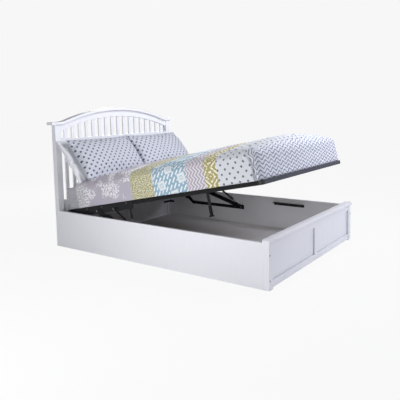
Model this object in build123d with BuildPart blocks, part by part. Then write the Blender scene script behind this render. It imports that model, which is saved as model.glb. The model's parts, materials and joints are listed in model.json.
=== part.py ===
from build123d import *
import os
from math import asin, atan2, cos, degrees, radians, sin, sqrt

# Ottoman bed: a white painted frame with an arched, slatted headboard and a
# panelled footboard. A steel deck with the mattress and bedding lifts from
# the foot end on two arms, two rear links and two gas struts.
# +X runs across the bed, +Y towards the head and +Z up. The origin lies on
# the ground under the middle of the bed. The model stands in the lifted pose.

os.makedirs("parts", exist_ok=True)
SIDES = ((-1, "left"), (1, "right"))

# Driving sizes of the wooden frame, in millimetres
frame_length = 2050
frame_width = 1440
side_height = 302
side_thickness = 21
post_depth = 45
head_post_width = 56
foot_post_width = 50
head_post_height = 1020
edge_round = 2
facing_share = 0.5
ground_gap = 10

# Headboard
arch_rise = 114
arch_radius = 1850
cap_scotia_radius = 250
cap_thickness = 24
cap_overhang = 12
cap_end_overhang = 36
cap_top_round = 9
cap_bottom_round = 5
cap_corner_round = 12
arched_rail_depth = 54
arched_rail_radius = 1950
headboard_rail_thickness = 30
middle_rail_drop = 115
middle_rail_depth = 68
lower_rail_top = 384
lower_rail_depth = 80
slat_count = 17
slat_width = 30
slat_thickness = 12
end_panel_thickness = 18

# Footboard
foot_cap_thickness = 24
foot_cap_depth = 63
foot_cap_end_overhang = 9
foot_rail_thickness = 26
foot_rail_recess = 4
foot_top_rail_depth = 45
foot_bottom_rail_depth = 44
foot_stile_width = 46
foot_panel_recess = 12
foot_panel_thickness = 9
groove_depth = 8
groove_clearance = 0.2

# Bolts that join the posts to the side panels
bolt_radius = 3
bolt_hole_radius = 3.5
bolt_head_radius = 6
bolt_head_height = 4
bolt_head_recess = 5
bolt_head_clearance = 0.5
bolt_grip = 45
bolt_low_height = 61
bolt_high_height = 225
socket_radius = 2.5
socket_depth = 2.5
nut_radius = 5
nut_length = 12
nut_setback = 32
fit_clearance = 0.05

# Storage floor
board_thickness = 6
bearer_height = 12
bearer_width = 40
board_gap = 1
board_count = 3

# Lifting gear
rail_plate = 4
base_rail_height = 30
base_rail_bottom = 157
base_rail_foot_y = 40
base_rail_bend_y = 662
arm_pivot_y = 58
arm_pivot_z = 184
pivot_ear_radius = 17
link_pivot_y = 722
link_pivot_z = 222
link_ear_radius = 15
pin_radius = 6
pin_cap_radius = 9
pin_cap_height = 3
rivet_height = 2
collar_radius = 10
layer_gap = 0.8
washer_gap = 0.4
arm_length = 530
arm_rest_angle = 16.5
arm_width = 36
arm_thickness = 5
link_width = 30
strut_radius = 9
strut_rod_radius = 4
strut_eye_width = 9
strut_eye_radius = 10
strut_fitting_length = 36
strut_fitting_radius = 4
strut_tube_length = 205
strut_rod_reach = 245
strut_bore_end = 5
strut_stud_radius = 4

# Steel deck, measured in its own tilted plane from the arm's upper pivot
deck_tilt = 11.5
pivot_drop = 14
deck_headboard_clearance = 19
deck_rail_height = 30
deck_rail_width = 30
deck_rail_wall = 2
corner_round = 8
bracket_foot_reach = 398
bracket_head_margin = 25
bracket_below = 34
bracket_above = 24
bracket_round = 12
strut_station = -205
link_station = 250
sprung_slat_rows = 13
sprung_slat_width = 60
sprung_slat_thickness = 8
sprung_slat_crown = 6
sprung_slat_margin = 72
holder_depth = 18
holder_wall = 3
holder_base = 13
leg_station = -608
leg_radius = 12.5
leg_tube_length = 150
leg_length = 243
leg_sleeve_radius = 14.5
leg_foot_radius = 22
leg_foot_height = 10
stay_station = -362
stay_width = 20
stay_thickness = 4
stay_length = 110
deck_bolt_radius = 5
deck_bolt_height = 3.5
deck_bolt_margin = 60

# Brackets on the side panels
rest_foot_y = -599
rest_head_y = -293
rest_height = 27
rest_top = 261.5
rest_width = 44
rest_plate = 3
brace_height = 145
brace_width = 20
brace_along_end = 98
brace_along_side = 60
screw_radius = 4.5
screw_head = 1.6
screw_margin = 40

# Mattress, duvet and pillows
mattress_length = 1900
mattress_width = 1350
mattress_thickness = 180
mattress_head_gap = 11
mattress_foot_gap = 19
mattress_corner = 60
mattress_edge = 18
duvet_side = 9
duvet_top = 39
duvet_crown = 50
duvet_shoulder = 84
duvet_foot_round = 110
duvet_belly = 5
duvet_head_setback = 165
duvet_seat_length = 365
duvet_slope_length = 160
duvet_corner = 70
duvet_clearance = 0.4
pillow_width = 680
front_pillow_shift = 22
rear_pillow_shift = -32
pillow_height = 410
pillow_lean = 40
pillow_gap = 8
pillow_seat = 0.6
pillow_end_bulge = 7
pillow_draw_in = 14
rear_pillow_setback = 269
rear_pillow_back = 58
rear_pillow_front = 20
front_pillow_back = 26
front_pillow_front = 74
pillow_touch = 1

# Sizes that follow from the ones above
half_length = frame_length / 2
half_width = frame_width / 2
side_inner = half_width - side_thickness
post_back = half_length - post_depth
opening_half = half_width - head_post_width
rail_front = half_length - post_depth / 2 - headboard_rail_thickness / 2
rail_back = rail_front + headboard_rail_thickness
cap_half = half_width + cap_end_overhang
middle_rail_top = head_post_height - middle_rail_drop
middle_rail_bottom = middle_rail_top - middle_rail_depth
arch_reach = arch_radius + cap_scotia_radius
cap_flat_x = sqrt(arch_reach**2 - (arch_reach - arch_rise) ** 2)
arch_turn = asin(cap_flat_x / arch_reach)
gap_width = (2 * opening_half - slat_count * slat_width) / (slat_count + 1)
slat_pitch = slat_width + gap_width
bolt_x = half_width - side_thickness / 2
floor_top = bearer_height + board_thickness

base_rail_inner = side_inner - rail_plate
strut_x = base_rail_inner - layer_gap - strut_radius
arm_outer = strut_x - strut_radius - layer_gap
arm_inner = arm_outer - arm_thickness
bracket_outer = arm_inner - layer_gap
deck_half = bracket_outer - rail_plate

deck_sin = sin(radians(deck_tilt))
deck_cos = cos(radians(deck_tilt))
upper_pivot_y = arm_pivot_y + arm_length * cos(radians(arm_rest_angle))
upper_pivot_z = arm_pivot_z + arm_length * sin(radians(arm_rest_angle))
deck_origin = Vector(0, upper_pivot_y + pivot_drop * deck_sin, upper_pivot_z + pivot_drop * deck_cos)
deck_up = Vector(0, deck_sin, deck_cos)
deck_along = Vector(0, deck_cos, -deck_sin)
mattress_top = deck_rail_height + mattress_thickness
mattress_head_y = rail_front - deck_headboard_clearance
mattress_head = (mattress_head_y - deck_origin.Y - mattress_top * deck_sin) / deck_cos
mattress_foot = mattress_head - mattress_length
deck_head_reach = mattress_head + mattress_head_gap
deck_foot_reach = mattress_foot_gap - mattress_foot
bracket_head_reach = link_station + bracket_head_margin
duvet_seat = mattress_top + duvet_top
duvet_head = mattress_head - duvet_head_setback
duvet_seat_end = mattress_head - duvet_seat_length
duvet_slope_end = duvet_seat_end - duvet_slope_length


def save(builder, name):
    """Label a finished sub-part and write its STEP file."""
    builder.part.label = name
    export_step(builder.part, f"parts/{name}.step")


def upright(y):
    """A plane across the bed at y: local x is X and local y is Z."""
    return Plane.XZ.offset(-y)


def deck_plane(height):
    """A plane along the tilted deck, a height above its underside."""
    return Plane(origin=deck_origin + deck_up * height, x_dir=(1, 0, 0), z_dir=deck_up)


def deck_side(x):
    """A plane down the length of the deck at x: local x is the station."""
    return Plane(origin=deck_origin + Vector(x, 0, 0), x_dir=deck_along, z_dir=(1, 0, 0))


def deck_end(station):
    """A plane square across the deck at a station, facing the foot end."""
    return Plane(origin=deck_origin + deck_along * station, x_dir=(1, 0, 0), z_dir=-deck_along)


def deck_point(station, height):
    """The Y and Z of a point given by its station and height on the deck."""
    place = deck_origin + deck_along * station + deck_up * height
    return place.Y, place.Z


def scotia_point(lift, turn):
    """A point on the hollow curve beside the arch, lifted square to it."""
    radius = cap_scotia_radius - lift
    return cap_flat_x - radius * sin(turn), head_post_height + cap_scotia_radius - radius * cos(turn)


def arch_point(lift, turn):
    """A point on the main arch, lifted square to it."""
    radius = arch_radius + lift
    return radius * sin(turn), head_post_height + arch_rise - arch_radius + radius * cos(turn)


def mirrored(point):
    """The same point on the other half of the headboard."""
    return -point[0], point[1]


def arched_edge(lift):
    """Draw the headboard's arched line from end to end, lifted square to it."""
    start = scotia_point(lift, 0)
    bend = scotia_point(lift, arch_turn / 2)
    joint = scotia_point(lift, arch_turn)
    Line((cap_half, start[1]), start)
    ThreePointArc(start, bend, joint)
    ThreePointArc(joint, arch_point(lift, 0), mirrored(joint))
    ThreePointArc(mirrored(joint), mirrored(bend), mirrored(start))
    Line(mirrored(start), (-cap_half, start[1]))


def gap_outline(bottom):
    """Draw the outline from a level line up to the arc over the slats' gaps."""
    crown = head_post_height + arch_rise - arched_rail_depth
    end_height = crown - arched_rail_radius + sqrt(arched_rail_radius**2 - opening_half**2)
    left, right = (-opening_half, end_height), (opening_half, end_height)
    ThreePointArc(left, (0, crown), right)
    Polyline(right, (opening_half, bottom), (-opening_half, bottom), left)


def round_bar(side, x_from, x_to, y, z, radius, bore=0):
    """A round bar or collar across the bed between two distances from its middle."""
    with Locations(Plane(origin=(side * (x_from + x_to) / 2, y, z), z_dir=(1, 0, 0))):
        Cylinder(radius, abs(x_to - x_from))
        if bore:
            Cylinder(bore, abs(x_to - x_from), mode=Mode.SUBTRACT)


def flat_bar(start, end, width):
    """A bar with round ends drawn from one point to another."""
    run = Vector(*end) - Vector(*start)
    with Locations(((start[0] + end[0]) / 2, (start[1] + end[1]) / 2)):
        SlotCenterToCenter(run.length, width, rotation=degrees(atan2(run.Y, run.X)))


# Posts, drilled for the bolts into the side panels
bolt_heights = (bolt_low_height, bolt_high_height)


def bolt_faces(side, end):
    """Where the bolts enter one post, from its outer face along the bed."""
    return [
        Plane(origin=(side * bolt_x, end * half_length, height), z_dir=(0, end, 0))
        for height in bolt_heights
    ]


def make_post(name, side, end, width, height):
    """One square post with two counterbored bolt holes."""
    with BuildPart() as post:
        with Locations((side * (half_width - width / 2), end * (half_length - post_depth / 2), height / 2)):
            Box(width, post_depth, height)
        fillet(post.edges().filter_by(Axis.Z), radius=edge_round)
        for face in bolt_faces(side, end):
            with Locations(face):
                CounterBoreHole(
                    radius=bolt_hole_radius,
                    counter_bore_radius=bolt_head_radius + bolt_head_clearance,
                    counter_bore_depth=bolt_head_recess,
                    depth=post_depth,
                )
    save(post, name)


for side, tag in SIDES:
    make_post(f"head_post_{tag}", side, 1, head_post_width, head_post_height)
    make_post(f"foot_post_{tag}", side, -1, foot_post_width, side_height)

# Moulded cap that follows the arch and runs out flat over the posts
cap_depth = post_depth + 2 * cap_overhang
with BuildPart() as headboard_cap:
    with BuildSketch(upright(half_length + cap_overhang)):
        with BuildLine():
            arched_edge(0)
            arched_edge(cap_thickness)
            for end in (-1, 1):
                low_corner = (end * cap_half, head_post_height)
                Line(low_corner, (end * cap_half, head_post_height + cap_thickness))
        make_face()
    extrude(amount=cap_depth)
    for way, radius in ((1, cap_top_round), (-1, cap_bottom_round)):
        level = headboard_cap.faces().filter_by(lambda face: face.normal_at().Z * way > facing_share)
        fillet(level.edges().filter_by(Axis.Y, reverse=True), radius=radius)
save(headboard_cap, "headboard_cap")

# Arched top rail between the posts, with its underside over the gaps
with BuildPart() as arched_rail:
    with BuildSketch(upright(rail_back)):
        with BuildLine():
            arched_edge(0)
            Line((-cap_half, head_post_height), (-cap_half, middle_rail_top))
            Line((-cap_half, middle_rail_top), (cap_half, middle_rail_top))
            Line((cap_half, middle_rail_top), (cap_half, head_post_height))
        make_face()
        with Locations((0, head_post_height)):
            Rectangle(2 * opening_half, 2 * head_post_height, mode=Mode.INTERSECT)
        with BuildLine():
            gap_outline(0)
        make_face(mode=Mode.SUBTRACT)
    extrude(amount=headboard_rail_thickness)
save(arched_rail, "headboard_arched_rail")

# Upper slats, cut from one arched field by the gaps between them
slat_back = (rail_front + rail_back + slat_thickness) / 2
with BuildPart() as upper_slats:
    with BuildSketch(upright(slat_back)):
        with BuildLine():
            gap_outline(middle_rail_top)
        make_face()
        with Locations((0, head_post_height)):
            with GridLocations(slat_pitch, 0, slat_count + 1, 1):
                Rectangle(gap_width, 2 * head_post_height, mode=Mode.SUBTRACT)
    extrude(amount=slat_thickness)
save(upper_slats, "headboard_upper_slats")

# Lower slats stand behind the bedding, between the middle and lower rails
with BuildPart() as lower_slats:
    with BuildSketch(upright(slat_back)):
        with Locations((0, (middle_rail_bottom + lower_rail_top) / 2)):
            with GridLocations(slat_pitch, 0, slat_count, 1):
                Rectangle(slat_width, middle_rail_bottom - lower_rail_top)
    extrude(amount=slat_thickness)
save(lower_slats, "headboard_lower_slats")


def cross_board(name, y_front, thickness, bottom, top, reach):
    """A plain board across the bed between two heights."""
    with BuildPart() as board:
        with Locations((0, y_front + thickness / 2, (bottom + top) / 2)):
            Box(2 * reach, thickness, top - bottom)
    save(board, name)


lower_rail_bottom = lower_rail_top - lower_rail_depth
for tag, bottom, top in (
    ("middle", middle_rail_bottom, middle_rail_top),
    ("lower", lower_rail_bottom, lower_rail_top),
):
    name = f"headboard_{tag}_rail"
    cross_board(name, rail_front, headboard_rail_thickness, bottom, top, opening_half)
end_panel_front = half_length - post_depth / 2 - end_panel_thickness / 2
cross_board(
    "head_end_panel", end_panel_front, end_panel_thickness, ground_gap, lower_rail_bottom, opening_half
)

# Footboard: two recessed panels held in grooves of the rails and stile
foot_opening_half = half_width - foot_post_width
foot_front = -half_length + foot_rail_recess
foot_back = foot_front + foot_rail_thickness
panel_front = foot_front + foot_panel_recess
panel_bottom = ground_gap + foot_bottom_rail_depth
panel_top = side_height - foot_top_rail_depth
panel_mid_z = (panel_bottom + panel_top) / 2
panel_mid_x = (foot_opening_half + foot_stile_width / 2) / 2
panel_width = foot_opening_half - foot_stile_width / 2
panel_mid_y = panel_front + foot_panel_thickness / 2
groove_width = foot_panel_thickness + 2 * groove_clearance


def foot_rail(name, bottom, top, groove_z):
    """A rail of the footboard with a groove along its inner edge."""
    with BuildPart() as rail:
        with Locations((0, (foot_front + foot_back) / 2, (bottom + top) / 2)):
            Box(2 * foot_opening_half, foot_rail_thickness, top - bottom)
        with Locations((0, panel_mid_y, groove_z)):
            Box(2 * foot_opening_half, groove_width, 2 * groove_depth, mode=Mode.SUBTRACT)
    save(rail, name)


foot_rail("footboard_top_rail", panel_top, side_height, panel_top)
foot_rail("footboard_bottom_rail", ground_gap, panel_bottom, panel_bottom)

with BuildPart() as centre_stile:
    with Locations((0, (foot_front + foot_back) / 2, panel_mid_z)):
        Box(foot_stile_width, foot_rail_thickness, panel_top - panel_bottom)
    for side, tag in SIDES:
        with Locations((side * foot_stile_width / 2, panel_mid_y, panel_mid_z)):
            Box(2 * groove_depth, groove_width, panel_top - panel_bottom, mode=Mode.SUBTRACT)
save(centre_stile, "footboard_centre_stile")

for side, tag in SIDES:
    with BuildPart() as foot_panel:
        with Locations((side * (panel_mid_x - groove_depth / 2), panel_mid_y, panel_mid_z)):
            Box(
                panel_width + groove_depth - 2 * groove_clearance,
                foot_panel_thickness,
                panel_top - panel_bottom + 2 * (groove_depth - groove_clearance),
            )
    save(foot_panel, f"footboard_panel_{tag}")

with BuildPart() as footboard_cap:
    foot_cap_half = half_width + foot_cap_end_overhang
    foot_cap_front = -half_length - cap_overhang
    with Locations((0, foot_cap_front + foot_cap_depth / 2, side_height + foot_cap_thickness / 2)):
        Box(2 * foot_cap_half, foot_cap_depth, foot_cap_thickness)
    fillet(footboard_cap.edges().filter_by(Axis.Z), radius=cap_corner_round)
    fillet(footboard_cap.faces().sort_by(Axis.Z)[-1].edges(), radius=cap_top_round)
    fillet(footboard_cap.faces().sort_by(Axis.Z)[0].edges(), radius=edge_round)
save(footboard_cap, "footboard_cap")

# Side panels, drilled for the bolts and their barrel nuts
for side, tag in SIDES:
    with BuildPart() as side_panel:
        with Locations((side * bolt_x, 0, side_height / 2)):
            Box(side_thickness, 2 * post_back, side_height)
        for end in (-1, 1):
            for height in bolt_heights:
                with Locations(Plane(origin=(side * bolt_x, end * post_back, height), z_dir=(0, end, 0))):
                    Hole(radius=bolt_hole_radius, depth=bolt_grip)
                nut_y = end * (post_back - nut_setback)
                with Locations(Plane(origin=(side * side_inner, nut_y, height), z_dir=(-side, 0, 0))):
                    Hole(radius=nut_radius + fit_clearance, depth=(side_thickness + nut_length) / 2)
    save(side_panel, f"side_panel_{tag}")

with BuildPart() as frame_bolts:
    for side, tag in SIDES:
        for end in (-1, 1):
            for face in bolt_faces(side, end):
                seat = face.offset(-bolt_head_recess)
                with BuildSketch(seat):
                    Circle(bolt_head_radius)
                extrude(amount=bolt_head_height)
                with BuildSketch(seat):
                    Circle(bolt_radius)
                extrude(amount=bolt_head_recess - post_depth - bolt_grip + bolt_radius)
                with BuildSketch(seat.offset(bolt_head_height)):
                    RegularPolygon(socket_radius, side_count=6)
                extrude(amount=-socket_depth, mode=Mode.SUBTRACT)
save(frame_bolts, "frame_bolts")

with BuildPart() as barrel_nuts:
    for side, tag in SIDES:
        for end in (-1, 1):
            for height in bolt_heights:
                nut_y = end * (post_back - nut_setback)
                nut_plane = Plane(origin=(side * bolt_x, nut_y, height), z_dir=(side, 0, 0))
                with BuildSketch(nut_plane.offset(-nut_length / 2)):
                    Circle(nut_radius)
                extrude(amount=nut_length)
                nut_side = (side * bolt_x, nut_y - nut_radius, height)
                with BuildSketch(Plane(origin=nut_side, z_dir=(0, 1, 0))):
                    Circle(bolt_radius + fit_clearance)
                extrude(amount=2 * nut_radius, mode=Mode.SUBTRACT)
save(barrel_nuts, "barrel_nuts")

# Storage floor: three boards on three bearers
with BuildPart() as floor_bearers:
    bearer_x = side_inner - bearer_width / 2
    for x in (-bearer_x, 0, bearer_x):
        with Locations((x, 0, bearer_height / 2)):
            Box(bearer_width, 2 * post_back - 2 * board_gap, bearer_height)
save(floor_bearers, "floor_bearers")

board_pitch = 2 * post_back / board_count
with BuildPart() as floor_boards:
    with Locations((0, 0, bearer_height + board_thickness / 2)):
        with GridLocations(0, board_pitch, 1, board_count):
            Box(2 * side_inner - 2 * board_gap, board_pitch - board_gap, board_thickness)
save(floor_boards, "floor_boards")

# Angle brackets that the deck comes down on
for side, tag in SIDES:
    with BuildPart() as rest_bracket:
        with BuildSketch(upright(rest_head_y)):
            with BuildLine():
                Polyline(
                    (side * side_inner, rest_top),
                    (side * (side_inner - rest_width), rest_top),
                    (side * (side_inner - rest_width), rest_top - rest_plate),
                    (side * (side_inner - rest_plate), rest_top - rest_plate),
                    (side * (side_inner - rest_plate), rest_top - rest_height),
                    (side * side_inner, rest_top - rest_height),
                    close=True,
                )
            make_face()
        extrude(amount=rest_head_y - rest_foot_y)
    save(rest_bracket, f"rest_bracket_{tag}")

# Flat corner braces between the side panels and the head end panel
with BuildPart() as corner_braces:
    for side, tag in SIDES:
        with BuildSketch(Plane.XY.offset(brace_height)):
            with BuildLine():
                Polyline(
                    (side * side_inner, post_back),
                    (side * side_inner, post_back - brace_along_side),
                    (side * (side_inner - rest_plate), post_back - brace_along_side),
                    (side * (side_inner - rest_plate), post_back - rest_plate),
                    (side * (side_inner - brace_along_end), post_back - rest_plate),
                    (side * (side_inner - brace_along_end), post_back),
                    close=True,
                )
            make_face()
        extrude(amount=brace_width)
save(corner_braces, "corner_braces")

# Base rails of the lifting gear: a bar with an ear for the long arm at the
# foot end and an upturned end for the rear link
rail_mid_z = base_rail_bottom + base_rail_height / 2
for side, tag in SIDES:
    with BuildPart() as base_rail:
        with BuildSketch(Plane.YZ.offset(side * base_rail_inner)):
            with Locations(((base_rail_foot_y + base_rail_bend_y) / 2, rail_mid_z)):
                Rectangle(base_rail_bend_y - base_rail_foot_y, base_rail_height)
            flat_bar((base_rail_bend_y, rail_mid_z), (link_pivot_y, link_pivot_z), base_rail_height)
            with Locations((arm_pivot_y, arm_pivot_z)):
                Circle(pivot_ear_radius)
            with Locations((arm_pivot_y, arm_pivot_z), (link_pivot_y, link_pivot_z)):
                Circle(pin_radius + fit_clearance, mode=Mode.SUBTRACT)
        extrude(amount=side * rail_plate)
    save(base_rail, f"lift_base_rail_{tag}")

# Screws that hold the base rails and the rest brackets to the panels
with BuildPart() as panel_screws:
    for side, tag in SIDES:
        first = arm_pivot_y + 2 * screw_margin
        last = base_rail_bend_y - screw_margin
        for y in (first, (first + last) / 2, last):
            with BuildSketch(Plane.YZ.offset(side * base_rail_inner)):
                with Locations((y, rail_mid_z)):
                    Circle(screw_radius)
            extrude(amount=-side * screw_head)
        for y in (rest_foot_y + screw_margin, rest_head_y - screw_margin):
            with BuildSketch(Plane.YZ.offset(side * (side_inner - rest_plate))):
                with Locations((y, rest_top - rest_height / 2)):
                    Circle(screw_radius)
            extrude(amount=-side * screw_head)
save(panel_screws, "panel_screws")


running_bore = pin_radius + fit_clearance
with BuildPart() as base_pins:
    for side, tag in SIDES:
        cap_outer = arm_inner - washer_gap
        round_bar(side, cap_outer, side_inner, arm_pivot_y, arm_pivot_z, pin_radius)
        round_bar(side, cap_outer - pin_cap_height, cap_outer, arm_pivot_y, arm_pivot_z, pin_cap_radius)
        round_bar(side, arm_inner, side_inner, link_pivot_y, link_pivot_z, pin_radius)
save(base_pins, "base_pins")

eye_outer = strut_x + strut_eye_width / 2
eye_inner = strut_x - strut_eye_width / 2
with BuildPart() as pin_collars:
    for side, tag in SIDES:
        y, z = arm_pivot_y, arm_pivot_z
        round_bar(side, eye_outer + washer_gap, base_rail_inner, y, z, collar_radius, pin_radius)
        round_bar(side, arm_outer + washer_gap, eye_inner - washer_gap, y, z, collar_radius, pin_radius)
        y, z = link_pivot_y, link_pivot_z
        round_bar(side, arm_outer + washer_gap, base_rail_inner, y, z, collar_radius, pin_radius)
save(pin_collars, "pin_collars")


def flat_link(name, side, start, end, width, bored, riveted):
    """A flat bar in the arms' layer with bores at some points and rivets at others."""
    with BuildPart() as link:
        with BuildSketch(Plane.YZ.offset(side * arm_inner)):
            flat_bar(start, end, width)
            with Locations(*bored):
                Circle(running_bore, mode=Mode.SUBTRACT)
        extrude(amount=side * arm_thickness)
        for y, z in riveted:
            round_bar(side, arm_outer, arm_outer + rivet_height, y, z, pin_cap_radius)
    save(link, name)


arm_foot = (arm_pivot_y, arm_pivot_z)
arm_head = (upper_pivot_y, upper_pivot_z)
link_foot = (link_pivot_y, link_pivot_z)
link_head = deck_point(link_station, -pivot_drop)
for side, tag in SIDES:
    flat_link(f"lift_arm_{tag}", side, arm_foot, arm_head, arm_width, [arm_foot, arm_head], [])
    flat_link(f"rear_link_{tag}", side, link_foot, link_head, link_width, [link_foot], [link_head])

# Gas struts: the rod's eye turns on the arm's lower pin
strut_head = Vector(0, *deck_point(strut_station, -pivot_drop))
strut_foot = Vector(0, arm_pivot_y, arm_pivot_z)
strut_line = (strut_head - strut_foot).normalized()
strut_length = (strut_head - strut_foot).length


def strut_plane(side, reach):
    """A plane square to one strut, a distance up from the lower pin."""
    return Plane(origin=strut_foot + strut_line * reach + Vector(side * strut_x, 0, 0), z_dir=strut_line)


tube_foot = strut_length - strut_fitting_length - strut_tube_length
for side, tag in SIDES:
    with BuildPart() as strut_rod:
        round_bar(side, eye_inner, eye_outer, arm_pivot_y, arm_pivot_z, strut_eye_radius)
        with BuildSketch(strut_plane(side, 0)):
            Circle(strut_rod_radius)
        extrude(amount=strut_rod_reach)
        with BuildSketch(Plane.YZ.offset(side * eye_inner)):
            with Locations((arm_pivot_y, arm_pivot_z)):
                Circle(running_bore)
        extrude(amount=side * strut_eye_width, mode=Mode.SUBTRACT)
    save(strut_rod, f"strut_rod_{tag}")

    with BuildPart() as strut_cylinder:
        with BuildSketch(strut_plane(side, tube_foot)):
            Circle(strut_radius)
        extrude(amount=strut_tube_length)
        fillet(strut_cylinder.edges(), radius=edge_round)
        with BuildSketch(strut_plane(side, tube_foot + strut_tube_length)):
            Circle(strut_fitting_radius)
        extrude(amount=strut_fitting_length)
        round_bar(side, eye_inner, eye_outer, strut_head.Y, strut_head.Z, strut_eye_radius)
        with BuildSketch(strut_plane(side, tube_foot)):
            Circle(strut_rod_radius + fit_clearance)
        extrude(amount=strut_tube_length - strut_bore_end, mode=Mode.SUBTRACT)
    save(strut_cylinder, f"strut_cylinder_{tag}")

# Deck brackets: plates on the outside of the deck that carry the pivots
for side, tag in SIDES:
    with BuildPart() as deck_bracket:
        with BuildSketch(deck_side(side * deck_half)):
            bracket_mid = (bracket_head_reach - bracket_foot_reach) / 2
            with Locations((bracket_mid, (bracket_above - bracket_below) / 2)):
                RectangleRounded(
                    bracket_head_reach + bracket_foot_reach, bracket_above + bracket_below, bracket_round
                )
            with Locations((0, -pivot_drop)):
                Circle(running_bore, mode=Mode.SUBTRACT)
        extrude(amount=side * rail_plate)
    save(deck_bracket, f"deck_bracket_{tag}")

link_bolt_z = deck_rail_height / 2
deck_bolt_stations = (deck_bolt_margin - bracket_foot_reach, -deck_bolt_margin, deck_bolt_margin * 2)
with BuildPart() as deck_bolts:
    for side, tag in SIDES:
        with BuildSketch(deck_side(side * bracket_outer)):
            for station in deck_bolt_stations:
                with Locations((station, link_bolt_z)):
                    RegularPolygon(deck_bolt_radius, side_count=6)
        extrude(amount=side * deck_bolt_height)
save(deck_bolts, "deck_bolts")

with BuildPart() as deck_pins:
    for side, tag in SIDES:
        cap_inner = arm_outer + washer_gap
        round_bar(side, deck_half - pin_cap_height, deck_half, upper_pivot_y, upper_pivot_z, pin_cap_radius)
        round_bar(side, deck_half, cap_inner, upper_pivot_y, upper_pivot_z, pin_radius)
        round_bar(side, cap_inner, cap_inner + pin_cap_height, upper_pivot_y, upper_pivot_z, pin_cap_radius)
        round_bar(side, bracket_outer, eye_inner - washer_gap, strut_head.Y, strut_head.Z, strut_stud_radius)
save(deck_pins, "deck_pins")

# Deck frame: square tubes between moulded corner blocks
tube_foot_end = deck_rail_width - deck_foot_reach
tube_head_end = deck_head_reach - deck_rail_width
rail_mid_x = deck_half - deck_rail_width / 2


def square_tube(width, height):
    """The cross-section of a square tube, drawn about the current location."""
    Rectangle(width, height)
    Rectangle(width - 2 * deck_rail_wall, height - 2 * deck_rail_wall, mode=Mode.SUBTRACT)


for side, tag in SIDES:
    with BuildPart() as deck_side_rail:
        with BuildSketch(deck_end(tube_head_end)):
            with Locations((side * rail_mid_x, deck_rail_height / 2)):
                square_tube(deck_rail_width, deck_rail_height)
        extrude(amount=tube_head_end - tube_foot_end)
    save(deck_side_rail, f"deck_side_rail_{tag}")

for name, middle in (
    ("deck_head_rail", deck_head_reach - deck_rail_width / 2),
    ("deck_foot_rail", deck_rail_width / 2 - deck_foot_reach),
):
    with BuildPart() as end_rail:
        with BuildSketch(deck_side(deck_rail_width - deck_half)):
            with Locations((middle, deck_rail_height / 2)):
                square_tube(deck_rail_width, deck_rail_height)
        extrude(amount=2 * (deck_half - deck_rail_width))
    save(end_rail, name)

with BuildPart() as deck_centre_rail:
    with BuildSketch(deck_end(tube_head_end)):
        with Locations((0, deck_rail_height / 2)):
            square_tube(deck_rail_width, deck_rail_height)
    extrude(amount=tube_head_end - tube_foot_end)
save(deck_centre_rail, "deck_centre_rail")

with BuildPart() as deck_corner_caps:
    with BuildSketch(deck_plane(0)) as plan:
        for side, tag in SIDES:
            for middle in (deck_head_reach - deck_rail_width / 2, deck_rail_width / 2 - deck_foot_reach):
                with Locations((side * rail_mid_x, middle)):
                    Rectangle(deck_rail_width, deck_rail_width)
        outer = plan.vertices().filter_by(lambda corner: abs(corner.X) > rail_mid_x)
        fillet(
            outer.filter_by(lambda corner: corner.Y > tube_head_end + edge_round)
            + outer.filter_by(lambda corner: corner.Y < tube_foot_end - edge_round),
            radius=corner_round,
        )
    extrude(amount=deck_rail_height)
save(deck_corner_caps, "deck_corner_caps")

# Sprung slats in plastic holders on the side and centre rails
slat_span = tube_head_end - tube_foot_end - 2 * sprung_slat_margin
slat_row_pitch = slat_span / (sprung_slat_rows - 1)
first_slat = tube_foot_end + sprung_slat_margin
slat_stations = [first_slat + row * slat_row_pitch for row in range(sprung_slat_rows)]
slat_inner = deck_rail_width / 2 + holder_wall
slat_outer = deck_half - deck_rail_width - holder_wall
slat_end_top = deck_rail_height - sprung_slat_crown
slat_mid_x = (slat_inner + slat_outer) / 2
with BuildPart() as deck_slats:
    for station in slat_stations:
        with BuildSketch(deck_end(station + sprung_slat_width / 2)):
            for side, tag in SIDES:
                inner_x = side * slat_inner
                mid_x = side * slat_mid_x
                outer_x = side * slat_outer
                low = slat_end_top - sprung_slat_thickness
                with BuildLine():
                    ThreePointArc((inner_x, slat_end_top), (mid_x, deck_rail_height), (outer_x, slat_end_top))
                    Line((outer_x, slat_end_top), (outer_x, low))
                    ThreePointArc((outer_x, low), (mid_x, low + sprung_slat_crown), (inner_x, low))
                    Line((inner_x, low), (inner_x, slat_end_top))
                make_face()
        extrude(amount=sprung_slat_width)
save(deck_slats, "deck_slats")

holder_height = deck_rail_height - holder_base
inner_holder_x = deck_rail_width / 2 + holder_depth / 2
outer_holder_x = deck_half - deck_rail_width - holder_depth / 2
with BuildPart() as slat_holders:
    for station in slat_stations:
        for side, tag in SIDES:
            for reach, turn in ((inner_holder_x, 1), (outer_holder_x, -1)):
                with BuildSketch(deck_plane(holder_base)):
                    with Locations((side * reach, station)):
                        Rectangle(holder_depth, sprung_slat_width + 2 * holder_wall)
                extrude(amount=holder_height)
                with BuildSketch(deck_plane(holder_base + holder_wall - edge_round)):
                    with Locations((side * (reach + turn * holder_wall), station)):
                        Rectangle(holder_depth, sprung_slat_width + 2 * groove_clearance)
                extrude(amount=sprung_slat_thickness + 2 * edge_round, mode=Mode.SUBTRACT)
save(slat_holders, "slat_holders")

# Centre leg under the middle of the deck
with BuildPart() as centre_leg_tube:
    with BuildSketch(deck_plane(0)):
        with Locations((0, leg_station)):
            Circle(leg_radius)
            Circle(leg_radius - deck_rail_wall, mode=Mode.SUBTRACT)
    extrude(amount=-leg_tube_length)
save(centre_leg_tube, "centre_leg_tube")

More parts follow.
